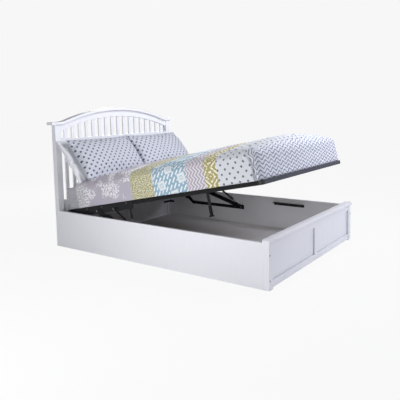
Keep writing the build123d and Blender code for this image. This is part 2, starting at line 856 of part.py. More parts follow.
with BuildPart() as centre_leg_foot:
    with BuildSketch(deck_plane(-leg_tube_length)):
        with Locations((0, leg_station)):
            Circle(leg_sleeve_radius)
    extrude(amount=leg_tube_length + leg_foot_height - leg_length)
    with BuildSketch(deck_plane(leg_foot_height - leg_length)):
        with Locations((0, leg_station)):
            Circle(leg_foot_radius)
    extrude(amount=-leg_foot_height)
    fillet(centre_leg_foot.edges().filter_by(GeomType.CIRCLE).group_by(SortBy.RADIUS)[-1], radius=edge_round)
save(centre_leg_foot, "centre_leg_foot")

# Short stay that hangs square to the deck inside the left bracket
with BuildPart() as deck_stay:
    with BuildSketch(deck_side(-deck_half)):
        with Locations((stay_station, -stay_length / 2)):
            RectangleRounded(stay_width, stay_length, bracket_round - edge_round * 2)
    extrude(amount=stay_thickness)
save(deck_stay, "deck_stay")

# Mattress
with BuildPart() as mattress:
    with BuildSketch(deck_plane(deck_rail_height)):
        with Locations((0, (mattress_head + mattress_foot) / 2)):
            RectangleRounded(mattress_width, mattress_length, mattress_corner)
    extrude(amount=mattress_thickness)
    layers = mattress.faces().sort_by(Axis(deck_origin, deck_up))
    fillet(layers[0].edges() + layers[-1].edges(), radius=mattress_edge)
save(mattress, "mattress")

# Duvet: a crowned cover over the mattress, tucked down its sides and foot
duvet_half = mattress_width / 2 + duvet_side
duvet_foot = mattress_foot - duvet_side
duvet_shoulder_z = duvet_seat - duvet_shoulder / 2
duvet_plan_length = duvet_head - duvet_foot
with BuildPart() as duvet:
    with BuildSketch(deck_end(duvet_head)):
        with BuildLine():
            for side, tag in SIDES:
                foot_corner = (side * (duvet_half - duvet_belly), deck_rail_height)
                belly = (side * duvet_half, (deck_rail_height + duvet_shoulder_z) / 2)
                shoulder = (side * (duvet_half - duvet_belly), duvet_shoulder_z)
                turn = (side * (duvet_half - duvet_shoulder / 3), duvet_seat - duvet_shoulder / 6)
                top = (side * (duvet_half - duvet_shoulder), duvet_seat)
                ThreePointArc(foot_corner, belly, shoulder)
                ThreePointArc(shoulder, turn, top)
            ThreePointArc(mirrored(top), (0, duvet_seat + duvet_crown), top)
            Line(mirrored(foot_corner), foot_corner)
        make_face()
    extrude(amount=duvet_plan_length)
    with BuildSketch(deck_side(-duvet_half)):
        with BuildLine():
            foot_low = (duvet_foot + duvet_belly, deck_rail_height)
            foot_belly = (duvet_foot, (deck_rail_height + duvet_shoulder_z) / 2)
            foot_shoulder = (duvet_foot + duvet_belly, duvet_shoulder_z)
            foot_turn = (duvet_foot + duvet_shoulder / 3, duvet_seat)
            foot_top = (duvet_foot + duvet_foot_round, duvet_seat + duvet_crown)
            slope_top = (duvet_slope_end, duvet_seat + duvet_crown)
            slope_low = (duvet_seat_end, duvet_seat - edge_round)
            head_top = (duvet_head, duvet_seat - edge_round)
            head_low = (duvet_head, deck_rail_height)
            ThreePointArc(foot_low, foot_belly, foot_shoulder)
            ThreePointArc(foot_shoulder, foot_turn, foot_top)
            Polyline(foot_top, slope_top, slope_low, head_top, head_low, foot_low)
        make_face()
    extrude(amount=2 * duvet_half, mode=Mode.INTERSECT)
    with BuildSketch(deck_plane(deck_rail_height)):
        with Locations((0, duvet_foot + duvet_plan_length)):
            RectangleRounded(2 * duvet_half, 2 * duvet_plan_length, duvet_corner)
    extrude(amount=mattress_thickness + duvet_top + 2 * duvet_crown, mode=Mode.INTERSECT)
    with BuildSketch(deck_plane(deck_rail_height)):
        with Locations((0, (mattress_head + mattress_foot) / 2)):
            RectangleRounded(
                mattress_width + 2 * duvet_clearance, mattress_length + 2 * duvet_clearance, mattress_corner
            )
    extrude(amount=mattress_thickness + duvet_clearance, mode=Mode.SUBTRACT)
save(duvet, "duvet")

# Pillows: lofted from a thin end seam through a full middle to the other end
pillow_up = Vector(0, sin(radians(pillow_lean)), cos(radians(pillow_lean)))
pillow_front = Vector(0, -cos(radians(pillow_lean)), sin(radians(pillow_lean)))
pillow_station_shares = (-1, -0.86, -0.5, 0, 0.5, 0.86, 1)
pillow_fullness_shares = (0, 0.55, 0.92, 1, 0.92, 0.55, 0)


def make_pillow(name, x_middle, seam, front_bulge, back_bulge):
    """One pillow that leans back from its bottom seam."""
    with BuildPart() as pillow:
        for share, full in zip(pillow_station_shares, pillow_fullness_shares):
            origin = seam + Vector(x_middle + share * pillow_width / 2, 0, 0)
            slice_plane = Plane(origin=origin, x_dir=pillow_up, z_dir=(1, 0, 0))
            front = pillow_end_bulge + (front_bulge - pillow_end_bulge) * full
            back = pillow_end_bulge + (back_bulge - pillow_end_bulge) * full
            low, high = (pillow_draw_in * full, 0), (pillow_height - pillow_draw_in * full, 0)
            with BuildSketch(slice_plane):
                with BuildLine():
                    ThreePointArc(low, (pillow_height / 2, front), high)
                    ThreePointArc(high, (pillow_height / 2, -back), low)
                make_face()
        loft()
    save(pillow, name)


pillow_middle = (pillow_width + pillow_gap) / 2
rear_pillow_station = mattress_head - rear_pillow_setback
rear_seam = Vector(0, *deck_point(rear_pillow_station, duvet_seat - edge_round + pillow_seat))
pillow_step = rear_pillow_front + front_pillow_back + pillow_touch
front_run = pillow_step / (-pillow_front.dot(deck_along))
front_seam = rear_seam - deck_along * front_run
for side, tag in SIDES:
    rear_x = side * pillow_middle + rear_pillow_shift
    front_x = side * pillow_middle + front_pillow_shift
    make_pillow(f"pillow_rear_{tag}", rear_x, rear_seam, rear_pillow_front, rear_pillow_back)
    make_pillow(f"pillow_front_{tag}", front_x, front_seam, front_pillow_front, front_pillow_back)
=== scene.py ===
"""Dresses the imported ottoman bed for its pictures.

The bed is a white painted wooden frame with an arched, slatted headboard and a
panelled footboard. A steel deck with sprung slats carries the mattress, a
banded duvet and two pairs of pillows, and lifts from the foot end.
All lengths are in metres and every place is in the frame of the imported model.
"""

import json
import logging
import math
from dataclasses import dataclass, field
from enum import Enum

import bmesh
import bpy
from mathutils import Matrix, Vector, noise

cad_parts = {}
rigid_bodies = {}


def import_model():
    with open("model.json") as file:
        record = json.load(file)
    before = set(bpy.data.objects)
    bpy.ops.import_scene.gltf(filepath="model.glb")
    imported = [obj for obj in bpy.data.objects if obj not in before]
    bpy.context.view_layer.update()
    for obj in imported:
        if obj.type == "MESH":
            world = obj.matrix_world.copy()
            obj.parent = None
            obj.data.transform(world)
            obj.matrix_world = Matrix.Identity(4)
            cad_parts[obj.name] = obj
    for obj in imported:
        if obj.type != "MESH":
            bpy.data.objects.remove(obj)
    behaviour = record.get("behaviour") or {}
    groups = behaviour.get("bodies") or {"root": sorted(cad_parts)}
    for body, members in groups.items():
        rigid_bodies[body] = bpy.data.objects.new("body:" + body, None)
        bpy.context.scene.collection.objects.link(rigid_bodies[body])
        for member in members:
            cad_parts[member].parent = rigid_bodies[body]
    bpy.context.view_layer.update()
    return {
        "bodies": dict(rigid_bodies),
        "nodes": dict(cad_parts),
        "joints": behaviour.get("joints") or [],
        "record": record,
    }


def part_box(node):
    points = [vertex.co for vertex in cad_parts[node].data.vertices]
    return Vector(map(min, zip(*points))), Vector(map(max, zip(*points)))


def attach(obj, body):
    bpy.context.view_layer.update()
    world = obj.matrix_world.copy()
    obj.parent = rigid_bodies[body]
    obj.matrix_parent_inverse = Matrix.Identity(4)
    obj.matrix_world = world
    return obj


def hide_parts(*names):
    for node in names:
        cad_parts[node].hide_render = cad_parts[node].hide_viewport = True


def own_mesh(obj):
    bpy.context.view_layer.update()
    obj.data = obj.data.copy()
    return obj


LOG = logging.getLogger("ottoman_bed")
Socket = bpy.types.NodeSocket
Piece = bpy.types.Object
NEAR = 1e-4  # Two stations nearer than this are one
TINY = 1e-6  # A shorter vector has no direction


def linear(code: str) -> tuple[float, float, float, float]:
    """Turn an sRGB hex colour into linear light.

    Args:
        code: Six hex digits, such as "f2f2f6".

    Returns:
        Red, green, blue and an alpha of one.
    """
    shares = [int(code[i : i + 2], 16) / 255 for i in (0, 2, 4)]
    light = [c / 12.92 if c <= 0.04045 else ((c + 0.055) / 1.055) ** 2.4 for c in shares]
    return (*light, 1.0)


def grey(level: float) -> tuple[float, float, float, float]:
    """A neutral linear colour of the given level."""
    return (level, level, level, 1.0)


class Nodes:
    """A node tree and the one way in which nodes are added to it."""

    def __init__(self, tree: bpy.types.NodeTree) -> None:
        """Take the tree that gets the nodes."""
        self.tree = tree

    def wire(self, node: bpy.types.Node, wires: dict) -> None:
        """Link a node's inputs or set their values.

        Args:
            node: The node.
            wires: For each input's name or index, a value, a socket, or a node whose first output is meant.
        """
        for key, value in wires.items():
            source = value.outputs[0] if isinstance(value, bpy.types.Node) else value
            if isinstance(source, Socket):
                self.tree.links.new(source, node.inputs[key])
            else:
                node.inputs[key].default_value = source

    def add(self, kind: str, wires: dict | None = None, stops: tuple = (), **settings) -> bpy.types.Node:
        """Add a node, with its settings, links and values.

        Args:
            kind: The node's type name.
            wires: Its inputs, as wire() takes them.
            stops: For a colour ramp, its positions and colours in order.
            settings: Properties of the node itself.

        Returns:
            The new node.
        """
        node = self.tree.nodes.new(kind)
        for name, value in settings.items():
            setattr(node, name, value)
        self.wire(node, wires or {})
        if stops:
            ramp = node.color_ramp.elements
            while len(ramp) < len(stops):
                ramp.new(1.0)
            for element, (position, colour) in zip(ramp, stops):
                element.position = position
                element.color = colour
        return node


# Finishes


@dataclass(frozen=True)
class Grain:
    """One pattern in a surface, with the real size of its parts, and what it does there.

    It may draw the colour towards a share of its light, change the roughness by
    two amounts, and raise the surface with a strength to a depth.
    """

    size: float
    kind: str = "ShaderNodeTexNoise"
    detail: float = 0.0
    stretch: tuple = (1.0, 1.0, 1.0)
    tone: float | None = None
    lift: float = 0.0
    gloss: tuple | None = None
    relief: tuple | None = None


@dataclass(frozen=True)
class Finish:
    """A surface as it was made, with its colour in sRGB, its gloss, its patterns and its other properties."""

    name: str
    colour: str
    roughness: float
    grains: tuple = ()
    extras: tuple = ()

    def toned(self, share: float, lift: float = 0.0) -> list[float]:
        """The finish's colour at a share of its light, lifted a little."""
        return [min(1.0, c * share + lift) for c in linear(self.colour)[:3]] + [1.0]

    def place(self, nodes: Nodes) -> Socket:
        """The coordinates of the piece itself, in metres."""
        return nodes.add("ShaderNodeTexCoord").outputs["Object"]

    def look(self, nodes: Nodes, place: Socket) -> dict:
        """Lay the finish's patterns over a plain shader of its colour and gloss.

        Args:
            nodes: The material's nodes.
            place: The coordinates that the patterns follow.

        Returns:
            The shader's inputs.
        """
        inputs = dict(self.extras)
        for grain in self.grains:
            drawn = nodes.add("ShaderNodeMapping", {"Vector": place, "Scale": grain.stretch})
            pattern = nodes.add(grain.kind, {"Vector": drawn, "Scale": 1 / grain.size, "Detail": grain.detail})
            if grain.tone:
                mixed = {0: pattern, 6: linear(self.colour), 7: self.toned(grain.tone, grain.lift)}
                inputs["Base Color"] = nodes.add("ShaderNodeMix", mixed, data_type="RGBA").outputs[2]
            if grain.gloss:
                less, more = grain.gloss
                limits = {0: pattern, 3: self.roughness - less, 4: self.roughness + more}
                inputs["Roughness"] = nodes.add("ShaderNodeMapRange", limits)
            if grain.relief:
                strength, depth = grain.relief
                below = {"Normal": inputs["Normal"]} if "Normal" in inputs else {}
                raised = {"Height": pattern, "Strength": strength, "Distance": depth, **below}
                inputs["Normal"] = nodes.add("ShaderNodeBump", raised)
        return inputs

    def build(self) -> bpy.types.Material:
        """Make the material.

        Returns:
            The material, named for the real one.
        """
        material = bpy.data.materials.new(self.name)
        material.use_nodes = True
        material.diffuse_color = linear(self.colour)
        nodes = Nodes(material.node_tree)
        shader = next(n for n in nodes.tree.nodes if n.type == "BSDF_PRINCIPLED")
        nodes.wire(shader, {"Base Color": linear(self.colour), "Roughness": self.roughness})
        nodes.wire(shader, self.look(nodes, self.place(nodes)))
        return material


@dataclass(frozen=True)
class BirchVeneer(Finish):
    """Peeled birch veneers, glued in a bow and lacquered."""

    dark: str = "9d7d54"
    pale: str = "dcc5a0"

    def look(self, nodes: Nodes, place: Socket) -> dict:
        """Pale wood with grain along the slat and faint glue lines.

        Args:
            nodes: The material's nodes.
            place: The piece's coordinates.

        Returns:
            The shader's inputs.
        """
        # The grain is about 8 mm wide and 170 mm long
        along = nodes.add("ShaderNodeMapping", {"Vector": place, "Scale": (2.0, 40.0, 40.0)})
        grain = nodes.add("ShaderNodeTexNoise", {"Vector": along, "Scale": 3.0, "Detail": 5.0})
        # Real glue lines lie 1.3 mm apart. These are drawn 3.7 mm apart, so that they show
        layers = nodes.add("ShaderNodeTexWave", {"Vector": place, "Scale": 0.11 / 0.0013}, bands_direction="Z")
        mixed = nodes.add("ShaderNodeMix", {0: 0.15, 2: grain, 3: layers.outputs["Fac"]}, data_type="FLOAT")
        stops = ((0.3, linear(self.dark)), (0.5, linear(self.colour)), (0.75, linear(self.pale)))
        return {
            "Base Color": nodes.add("ShaderNodeValToRGB", {0: mixed}, stops),
            "Normal": nodes.add("ShaderNodeBump", {"Height": grain, "Strength": 0.1, "Distance": 0.0005}),
        }


@dataclass(frozen=True)
class WovenCotton(Finish):
    """Plain woven cotton, washed and ironed."""

    crumple: float = 0.0014

    def place(self, nodes: Nodes) -> Socket:
        """The coordinates of the flat cloth, in metres."""
        return nodes.add("ShaderNodeUVMap", uv_map="cloth").outputs[0]

    def ground(self, nodes: Nodes, place: Socket) -> Socket:
        """The cloth's colour: undyed cotton with a slightly uneven white.

        Args:
            nodes: The material's nodes.
            place: The cloth's coordinates.

        Returns:
            The socket with the colour.
        """
        patches = nodes.add("ShaderNodeTexNoise", {"Vector": place, "Scale": 1 / 0.12, "Detail": 3.0})
        mixed = {0: patches, 6: linear(self.colour), 7: self.toned(0.9)}
        return nodes.add("ShaderNodeMix", mixed, data_type="RGBA").outputs[2]

    def look(self, nodes: Nodes, place: Socket) -> dict:
        """The cloth's colour with its weave, fine creases and the fuzz of cotton.

        Args:
            nodes: The material's nodes.
            place: The cloth's coordinates.

        Returns:
            The shader's inputs.
        """
        # Real threads, 0.4 mm apart, are too fine to show, so the weave is drawn 10 mm apart
        ribs = {"Vector": place, "Scale": 31.25}
        across = nodes.add("ShaderNodeTexWave", ribs).outputs["Fac"]
        along = nodes.add("ShaderNodeTexWave", ribs, bands_direction="Y").outputs["Fac"]
        woven = nodes.add("ShaderNodeMath", {0: across, 1: along}, operation="MULTIPLY")
        # Creases from the wash are about 35 mm apart
        wash = {"Vector": place, "Scale": 1 / 0.035, "Detail": 5.0, "Roughness": 0.6, "Distortion": 0.8}
        creases = nodes.add("ShaderNodeTexNoise", wash)
        fine = nodes.add("ShaderNodeBump", {"Height": woven, "Strength": 0.25, "Distance": 0.0003})
        soft = {"Height": creases, "Strength": 0.55, "Distance": self.crumple, "Normal": fine}
        return {
            "Base Color": self.ground(nodes, place),
            "Normal": nodes.add("ShaderNodeBump", soft),
            "Sheen Weight": 0.15,
            "Sheen Roughness": 0.5,
        }


@dataclass(frozen=True)
class DottedCotton(WovenCotton):
    """Cotton printed with small dots, set like the five of a dice."""

    dot: str = "4d5262"
    speckle: str = "b9bccb"
    pitch: float = 0.039
    dot_share: float = 0.22

    def ground(self, nodes: Nodes, place: Socket) -> Socket:
        """The cloth's colour: dots 39 mm apart on the slant, each about 17 mm wide, and fine specks.

        Args:
            nodes: The material's nodes.
            place: The cloth's coordinates.

        Returns:
            The socket with the colour.
        """
        turned = nodes.add("ShaderNodeMapping", {"Vector": place, "Rotation": (0.0, 0.0, math.pi / 4)})
        grid = {"Vector": turned, "Scale": 1 / self.pitch, "Randomness": 0.0}
        spots = nodes.add("ShaderNodeTexVoronoi", grid, voronoi_dimensions="2D")
        stops = ((0.0, grey(1)), (self.dot_share - 0.02, grey(1)), (self.dot_share + 0.02, grey(0)))
        inked = nodes.add("ShaderNodeValToRGB", {0: spots}, stops)
        # Pale-grey specks of about 4 mm lie between the dots
        specks = nodes.add("ShaderNodeTexVoronoi", {"Vector": place, "Scale": 1 / 0.008}, voronoi_dimensions="2D")
        speckled = nodes.add("ShaderNodeMapRange", {0: specks, 1: 0.05, 2: 0.5, 3: 0.45, 4: 0.0})
        mixed = {0: speckled, 6: linear(self.colour), 7: linear(self.speckle)}
        plain = nodes.add("ShaderNodeMix", mixed, data_type="RGBA").outputs[2]
        return nodes.add("ShaderNodeMix", {0: inked, 6: plain, 7: linear(self.dot)}, data_type="RGBA").outputs[2]


class Motif(Enum):
    """The traditional patterns that the duvet's bands are printed with."""

    SPECKS = "white specks all over"
    DRIFTS = "white flecks in loose drifts"
    SEEDS = "small seeds all over"
    BRICKS = "slanted dashes with lozenges"
    ZIGZAG = "zigzag lines"
    LOZENGES = "lozenges inside lozenges"
    CHECKS = "small squares"
    WAVES = "wavy lines"


@dataclass(frozen=True)
class Band:
    """One printed band across the duvet, from its head end down to the next band's."""

    head: float
    ground: str
    ink: str
    motif: Motif


BANDS = (
    Band(0.40, "b3b1b8", "ebebee", Motif.SPECKS),
    Band(0.10, "bbb5c2", "f0eef2", Motif.DRIFTS),
    Band(-0.43, "a6a171", "e6e5d6", Motif.SEEDS),
    Band(-0.66, "8fafc2", "f0f2f3", Motif.BRICKS),
    Band(-0.97, "aea5b2", "dfdce1", Motif.ZIGZAG),
    Band(-1.13, "a99f63", "eeecdd", Motif.LOZENGES),
    Band(-1.24, "d7dae0", "626b78", Motif.CHECKS),
    Band(-1.515, "e6e7ee", "7d89a0", Motif.WAVES),
)
BANDS_END = -1.90


@dataclass(frozen=True)
class BandedCotton(WovenCotton):
    """Cotton printed in bands across the bed, each with its own small pattern."""

    def printed(self, nodes: Nodes, place: Socket, motif: Motif) -> bpy.types.Node:
        """Make the nodes of one motif.

        Args:
            nodes: The material's nodes.
            place: The cloth's coordinates.
            motif: Which pattern to make.

        Returns:
            A node that gives one where the motif's ink lies.
        """
        add = nodes.add
        flat = {"voronoi_dimensions": "2D"}
        under = {"operation": "LESS_THAN"}
        times = {"operation": "MULTIPLY"}
        there_and_back = {"operation": "PINGPONG"}
        # Specks and seeds stand 12 and 11 mm apart
        scattered = {Motif.SPECKS: (0.012, 0.36), Motif.SEEDS: (0.011, 0.33)}
        if motif in scattered:
            pitch, reach = scattered[motif]
            specks = add("ShaderNodeTexVoronoi", {"Vector": place, "Scale": 1 / pitch}, **flat)
            return add("ShaderNodeMath", {0: specks, 1: reach}, **under)
        if motif is Motif.DRIFTS:
            # Flecks 16 mm apart grow and vanish in drifts about 170 mm wide
            flecks = add("ShaderNodeTexVoronoi", {"Vector": place, "Scale": 1 / 0.016}, **flat)
            drifts = add("ShaderNodeTexNoise", {"Vector": place, "Scale": 1 / 0.17, "Detail": 1.0})
            room = add("ShaderNodeMapRange", {0: drifts, 1: 0.47, 2: 0.56, 3: 0.0, 4: 0.46})
            return add("ShaderNodeMath", {0: flecks, 1: room}, **under)
        if motif is Motif.BRICKS:
            # Slanted dashes of 43 by 11 mm with 17 mm between them, and ringed lozenges 135 mm apart
            slant = add("ShaderNodeMapping", {"Vector": place, "Rotation": (0.0, 0.0, 0.6)})
            laid = {"Vector": slant, "Scale": 1.0, "Brick Width": 0.060, "Row Height": 0.028}
            gaps = {"Mortar Size": 0.0085, "Mortar Smooth": 0.0}
            dashes = add("ShaderNodeTexBrick", {**laid, **gaps}).outputs["Fac"]
            grid = {"Vector": slant, "Scale": 1 / 0.135, "Randomness": 0.0}
            lozenges = add("ShaderNodeTexVoronoi", grid, distance="MANHATTAN", **flat)
            stops = ((0.0, grey(0.7)), (0.1, grey(0.35)), (0.16, grey(0.8)), (0.34, grey(0)))
            rings = add("ShaderNodeValToRGB", {0: lozenges}, stops)
            rings.color_ramp.interpolation = "CONSTANT"
            outside = add("ShaderNodeMath", {0: lozenges, 1: 0.38}, operation="GREATER_THAN")
            inside = add("ShaderNodeMath", {0: 1.0, 1: dashes}, operation="SUBTRACT")
            kept = add("ShaderNodeMath", {0: inside, 1: outside}, **times)
            return add("ShaderNodeMath", {0: kept, 1: rings}, operation="MAXIMUM")
        if motif is Motif.LOZENGES:
            # Rings of beads, 13 mm apart, round lozenges 118 mm apart
            grid = {"Vector": place, "Scale": 1 / 0.118, "Randomness": 0.0}
            lozenges = add("ShaderNodeTexVoronoi", grid, distance="MANHATTAN", **flat)
            rings = add("ShaderNodeMath", {0: lozenges, 1: 0.15}, **there_and_back)
            edge = add("ShaderNodeMath", {0: rings, 1: 0.075}, **under)
            beads = add("ShaderNodeTexVoronoi", {"Vector": place, "Scale": 1 / 0.013}, **flat)
            dots = add("ShaderNodeMath", {0: beads, 1: 0.52}, **under)
            return add("ShaderNodeMath", {0: edge, 1: dots}, **times)
        if motif is Motif.CHECKS:
            # Squares of about 14 mm, 45 mm apart on the slant
            turned = add("ShaderNodeMapping", {"Vector": place, "Rotation": (0.0, 0.0, math.pi / 4)})
            grid = {"Vector": turned, "Scale": 1 / 0.045, "Randomness": 0.0}
            squares = add("ShaderNodeTexVoronoi", grid, distance="CHEBYCHEV", **flat)
            return add("ShaderNodeMath", {0: squares, 1: 0.16}, **under)
        split = add("ShaderNodeSeparateXYZ", {0: place}).outputs
        if motif is Motif.ZIGZAG:
            # Lines of 12 mm that turn every 25 mm
            fold = add("ShaderNodeMath", {0: split[0], 1: 0.025}, **there_and_back)
            climb = add("ShaderNodeMath", {0: split[1], 1: fold}, operation="ADD")
            width = 0.0062
        else:
            # Lines of 10 mm that swing 11 mm either way over 78 mm
            turns = add("ShaderNodeMath", {0: split[0], 1: 2 * math.pi / 0.078}, **times)
            swing = add("ShaderNodeMath", {0: turns}, operation="SINE")
            climb = add("ShaderNodeMath", {0: swing, 1: 0.011, 2: split[1]}, operation="MULTIPLY_ADD")
            width = 0.0048
        # Both kinds of line repeat every 29 mm
        lines = add("ShaderNodeMath", {0: climb, 1: 0.0145}, **there_and_back)
        return add("ShaderNodeMath", {0: lines, 1: width}, **under)

    def ground(self, nodes: Nodes, place: Socket) -> Socket:
        """The cloth's colour: every band's ground and ink, laid down from head to foot.

        Args:
            nodes: The material's nodes.
            place: The cloth's coordinates.

        Returns:
            The socket with the colour.
        """
        split = nodes.add("ShaderNodeSeparateXYZ", {0: place})
        length = BANDS[0].head - BANDS_END
        limits = {0: split.outputs[1], 1: BANDS_END, 2: BANDS[0].head}
        along = nodes.add("ShaderNodeMapRange", limits)
        laid = linear(self.colour)
        for band, foot in zip(BANDS, [*(band.head for band in BANDS[1:]), BANDS_END]):
            printed = {0: self.printed(nodes, place, band.motif), 6: linear(band.ground), 7: linear(band.ink)}
            inked = nodes.add("ShaderNodeMix", printed, data_type="RGBA").outputs[2]
            begins, ends = (foot - BANDS_END) / length, (band.head - BANDS_END) / length
            stops = ((0.0, grey(0)), (begins, grey(1)), (ends, grey(0)))
            within = nodes.add("ShaderNodeValToRGB", {0: along}, stops)
            within.color_ramp.interpolation = "CONSTANT"
            laid = nodes.add("ShaderNodeMix", {0: within, 6: laid, 7: inked}, data_type="RGBA").outputs[2]
        return laid


CELLS = "ShaderNodeTexVoronoi"
# Satin water-based paint, sprayed on wood and flatted: a skin with a texture of about 1.5 mm, through which the
# wood's grain shows as ripples about 30 mm apart, drawn out upright
SATIN_PAINT = (
    Grain(0.0015, detail=1.0, relief=(0.05, 0.0004)),
    Grain(0.030, detail=3.0, stretch=(1.0, 1.0, 0.25), tone=0.965, gloss=(0.05, 0.06), relief=(0.08, 0.001)),
)
# Polyester powder, baked on steel: a soft gloss with dimples, here 2.2 mm apart, and a trace of dust
POWDER_COAT = (
    Grain(0.0022, detail=2.0, relief=(0.12, 0.0005)),
    Grain(0.09, detail=4.0, tone=1.25, lift=0.004, gloss=(0.08, 0.08)),
)
# The matting agent in the powder breaks up most of the mirror light
MATTED = (("Specular IOR Level", 0.15),)
# Polypropylene from a spark-eroded mould: matt, with a fine grain of about 1 mm and gloss that changes over 40 mm
MOULDED = (
    Grain(0.001, CELLS, relief=(0.15, 0.0002)),
    Grain(0.04, detail=3.0, gloss=(0.1, 0.1)),
)
# Steel that is zinc plated, or hard chromed and ground: bright, with small changes of gloss 4 mm apart
ZINC = (Grain(0.004, detail=3.0, gloss=(0.126, 0.126)),)
CHROME = (Grain(0.004, detail=3.0, gloss=(0.036, 0.036)),)
METAL = (("Metallic", 1.0),)
# Hard paint on a drawn tube: deep black under a clear gloss, with faint drawing lines 6 mm apart
TUBE_PAINT = (Grain(0.006, detail=2.0, relief=(0.04, 0.0003)),)
CLEAR_COAT = (("Coat Weight", 0.6), ("Coat Roughness", 0.08))
# Thin particle board with a printed melamine face: pale grey with a faint mottle of about 12 mm
MELAMINE = (Grain(0.012, detail=4.0, tone=0.88, relief=(0.05, 0.0003)),)
# Stretch knit over a thin wadding: pale grey with small cells, 4 mm apart, and the fuzz of its yarn
KNIT = (Grain(0.004, CELLS, tone=0.8, relief=(0.4, 0.0008)),)
YARN = (("Sheen Weight", 0.2),)

FINISHES = {
    "painted_wood": Finish("satin_painted_wood", "ecedf2", 0.36, SATIN_PAINT),
    "floor_board": Finish("melamine_faced_board", "d9d8d8", 0.5, MELAMINE),
    "slat_birch": BirchVeneer("lacquered_birch_veneer", "c4a67c", 0.42),
    "black_plastic": Finish("moulded_polypropylene", "161617", 0.55, MOULDED),
    "graphite_steel": Finish("graphite_powder_coat", "121215", 0.58, POWDER_COAT, MATTED),
    "grey_steel": Finish("grey_powder_coat", "4c4e56", 0.5, POWDER_COAT, MATTED),
    "black_steel": Finish("black_powder_coat", "17171a", 0.45, POWDER_COAT, MATTED),
    "zinc_steel": Finish("zinc_plated_steel", "74787c", 0.42, ZINC, METAL),
    "rod_chrome": Finish("hard_chromed_rod", "d4d7db", 0.12, CHROME, METAL),
    "gloss_black": Finish("gloss_painted_tube", "08080a", 0.2, TUBE_PAINT, CLEAR_COAT),
    "mattress_cover": Finish("knitted_mattress_cover", "bab9c0", 0.85, KNIT, YARN),
    "plain_cotton": WovenCotton("plain_pillow_cotton", "dcdde2", 0.85),
    "dotted_cotton": DottedCotton("dotted_pillow_cotton", "c5c8d2", 0.85),
    "duvet_cotton": BandedCotton("banded_duvet_cotton", "d6d8e0", 0.85, crumple=0.0034),
}


class Palette:
    """Builds each finish once and hands it out by its slot's name."""

    def __init__(self) -> None:
        """Build every finish."""
        self.made = {slot: finish.build() for slot, finish in FINISHES.items()}
        LOG.info("built %d finishes", len(self.made))

    def dress(self, piece: Piece, slot: str) -> None:
        """Give a piece the finish of one slot.

        Args:
            piece: The object to finish.
            slot: The record's material slot.
        """
        piece.data.materials.clear()
        piece.data.materials.append(self.made[slot])


# Geometry helpers


def new_piece(name: str, vertices: list, faces: list, edges: list | None = None) -> Piece:
    """Make an object at the origin from points and faces.

    Args:
        name: The piece's name.
        vertices: Its points.
        faces: Its faces, as lists of point indices.
        edges: Loose edges, for a line of points.

    Returns:
        The new object, linked to the scene.
    """
    mesh = bpy.data.meshes.new(name)
    mesh.from_pydata(vertices, edges or [], faces)
    mesh.update()
    piece = bpy.data.objects.new(name, mesh)
    bpy.context.scene.collection.objects.link(piece)
    return piece


def smooth(piece: Piece) -> None:
    """Shade a whole piece smooth."""
    piece.data.polygons.foreach_set("use_smooth", [True] * len(piece.data.polygons))


def settle(piece: Piece) -> None:
    """Turn a piece and all its modifiers into one plain mesh."""
    graph = bpy.context.evaluated_depsgraph_get()
    mesh = bpy.data.meshes.new_from_object(piece.evaluated_get(graph), preserve_all_data_layers=True, depsgraph=graph)
    piece.modifiers.clear()
    piece.data = mesh


def lay_flat(piece: Piece, corners: list[tuple[float, float]]) -> None:
    """Give a piece of cloth its flat coordinates.

    Args:
        piece: The cloth, with its faces as they were made.
        corners: The place of each corner of each face on the flat cloth, in the faces' order.
    """
    layer = piece.data.uv_layers.new(name="cloth")
    for entry, place in zip(layer.data, corners):
        entry.uv = place


def clamped(value: float, low: float = 0.0, high: float = 1.0) -> float:
    """Keep a value between two limits."""
    return max(low, min(high, value))


def eased(value: float) -> float:
    """Ease a share smoothly from nothing to one."""
    share = clamped(value)
    return share * share * (3 - 2 * share)


def bell(value: float, width: float) -> float:
    """A smooth hump that is one at nought and fades out over a width."""
    return math.exp(-((value / width) ** 2))


def ripple(point: Vector, fineness: tuple, shift: tuple = (0.0, 0.0, 0.0)) -> float:
    """Smooth noise at a point, with its fineness and shift along each axis."""
    return noise.noise(Vector([p * f + s for p, f, s in zip(point, fineness, shift)]))


def even_steps(stops: list[float], spacing: float) -> list[float]:
    """Fill the gaps between given values with even steps.

    Args:
        stops: Values in order, all kept.
        spacing: The widest step allowed.

    Returns:
        The values with the steps between them.
    """
    filled = [stops[0]]
    for low, high in zip(stops, stops[1:]):
        count = max(1, math.ceil(abs(high - low) / spacing))
        filled += [low + (high - low) * step / count for step in range(1, count + 1)]
    return filled


@dataclass(frozen=True)
class Deck:
    """The tilted plane of the steel deck as it stands at rest."""

    origin: tuple = (0.0, 0.568966, 0.348247)
    tilt: float = math.radians(11.5)

    def place(self, x: float, station: float, height: float) -> Vector:
        """The point at a distance across, a station along and a height above the deck's underside."""
        c, s = math.cos(self.tilt), math.sin(self.tilt)
        return Vector((x, self.origin[1] + station * c + height * s, self.origin[2] - station * s + height * c))

    def matrix(self) -> Matrix:
        """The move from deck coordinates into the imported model's frame."""
        return Matrix.Translation(self.origin) @ Matrix.Rotation(-self.tilt, 4, "X")


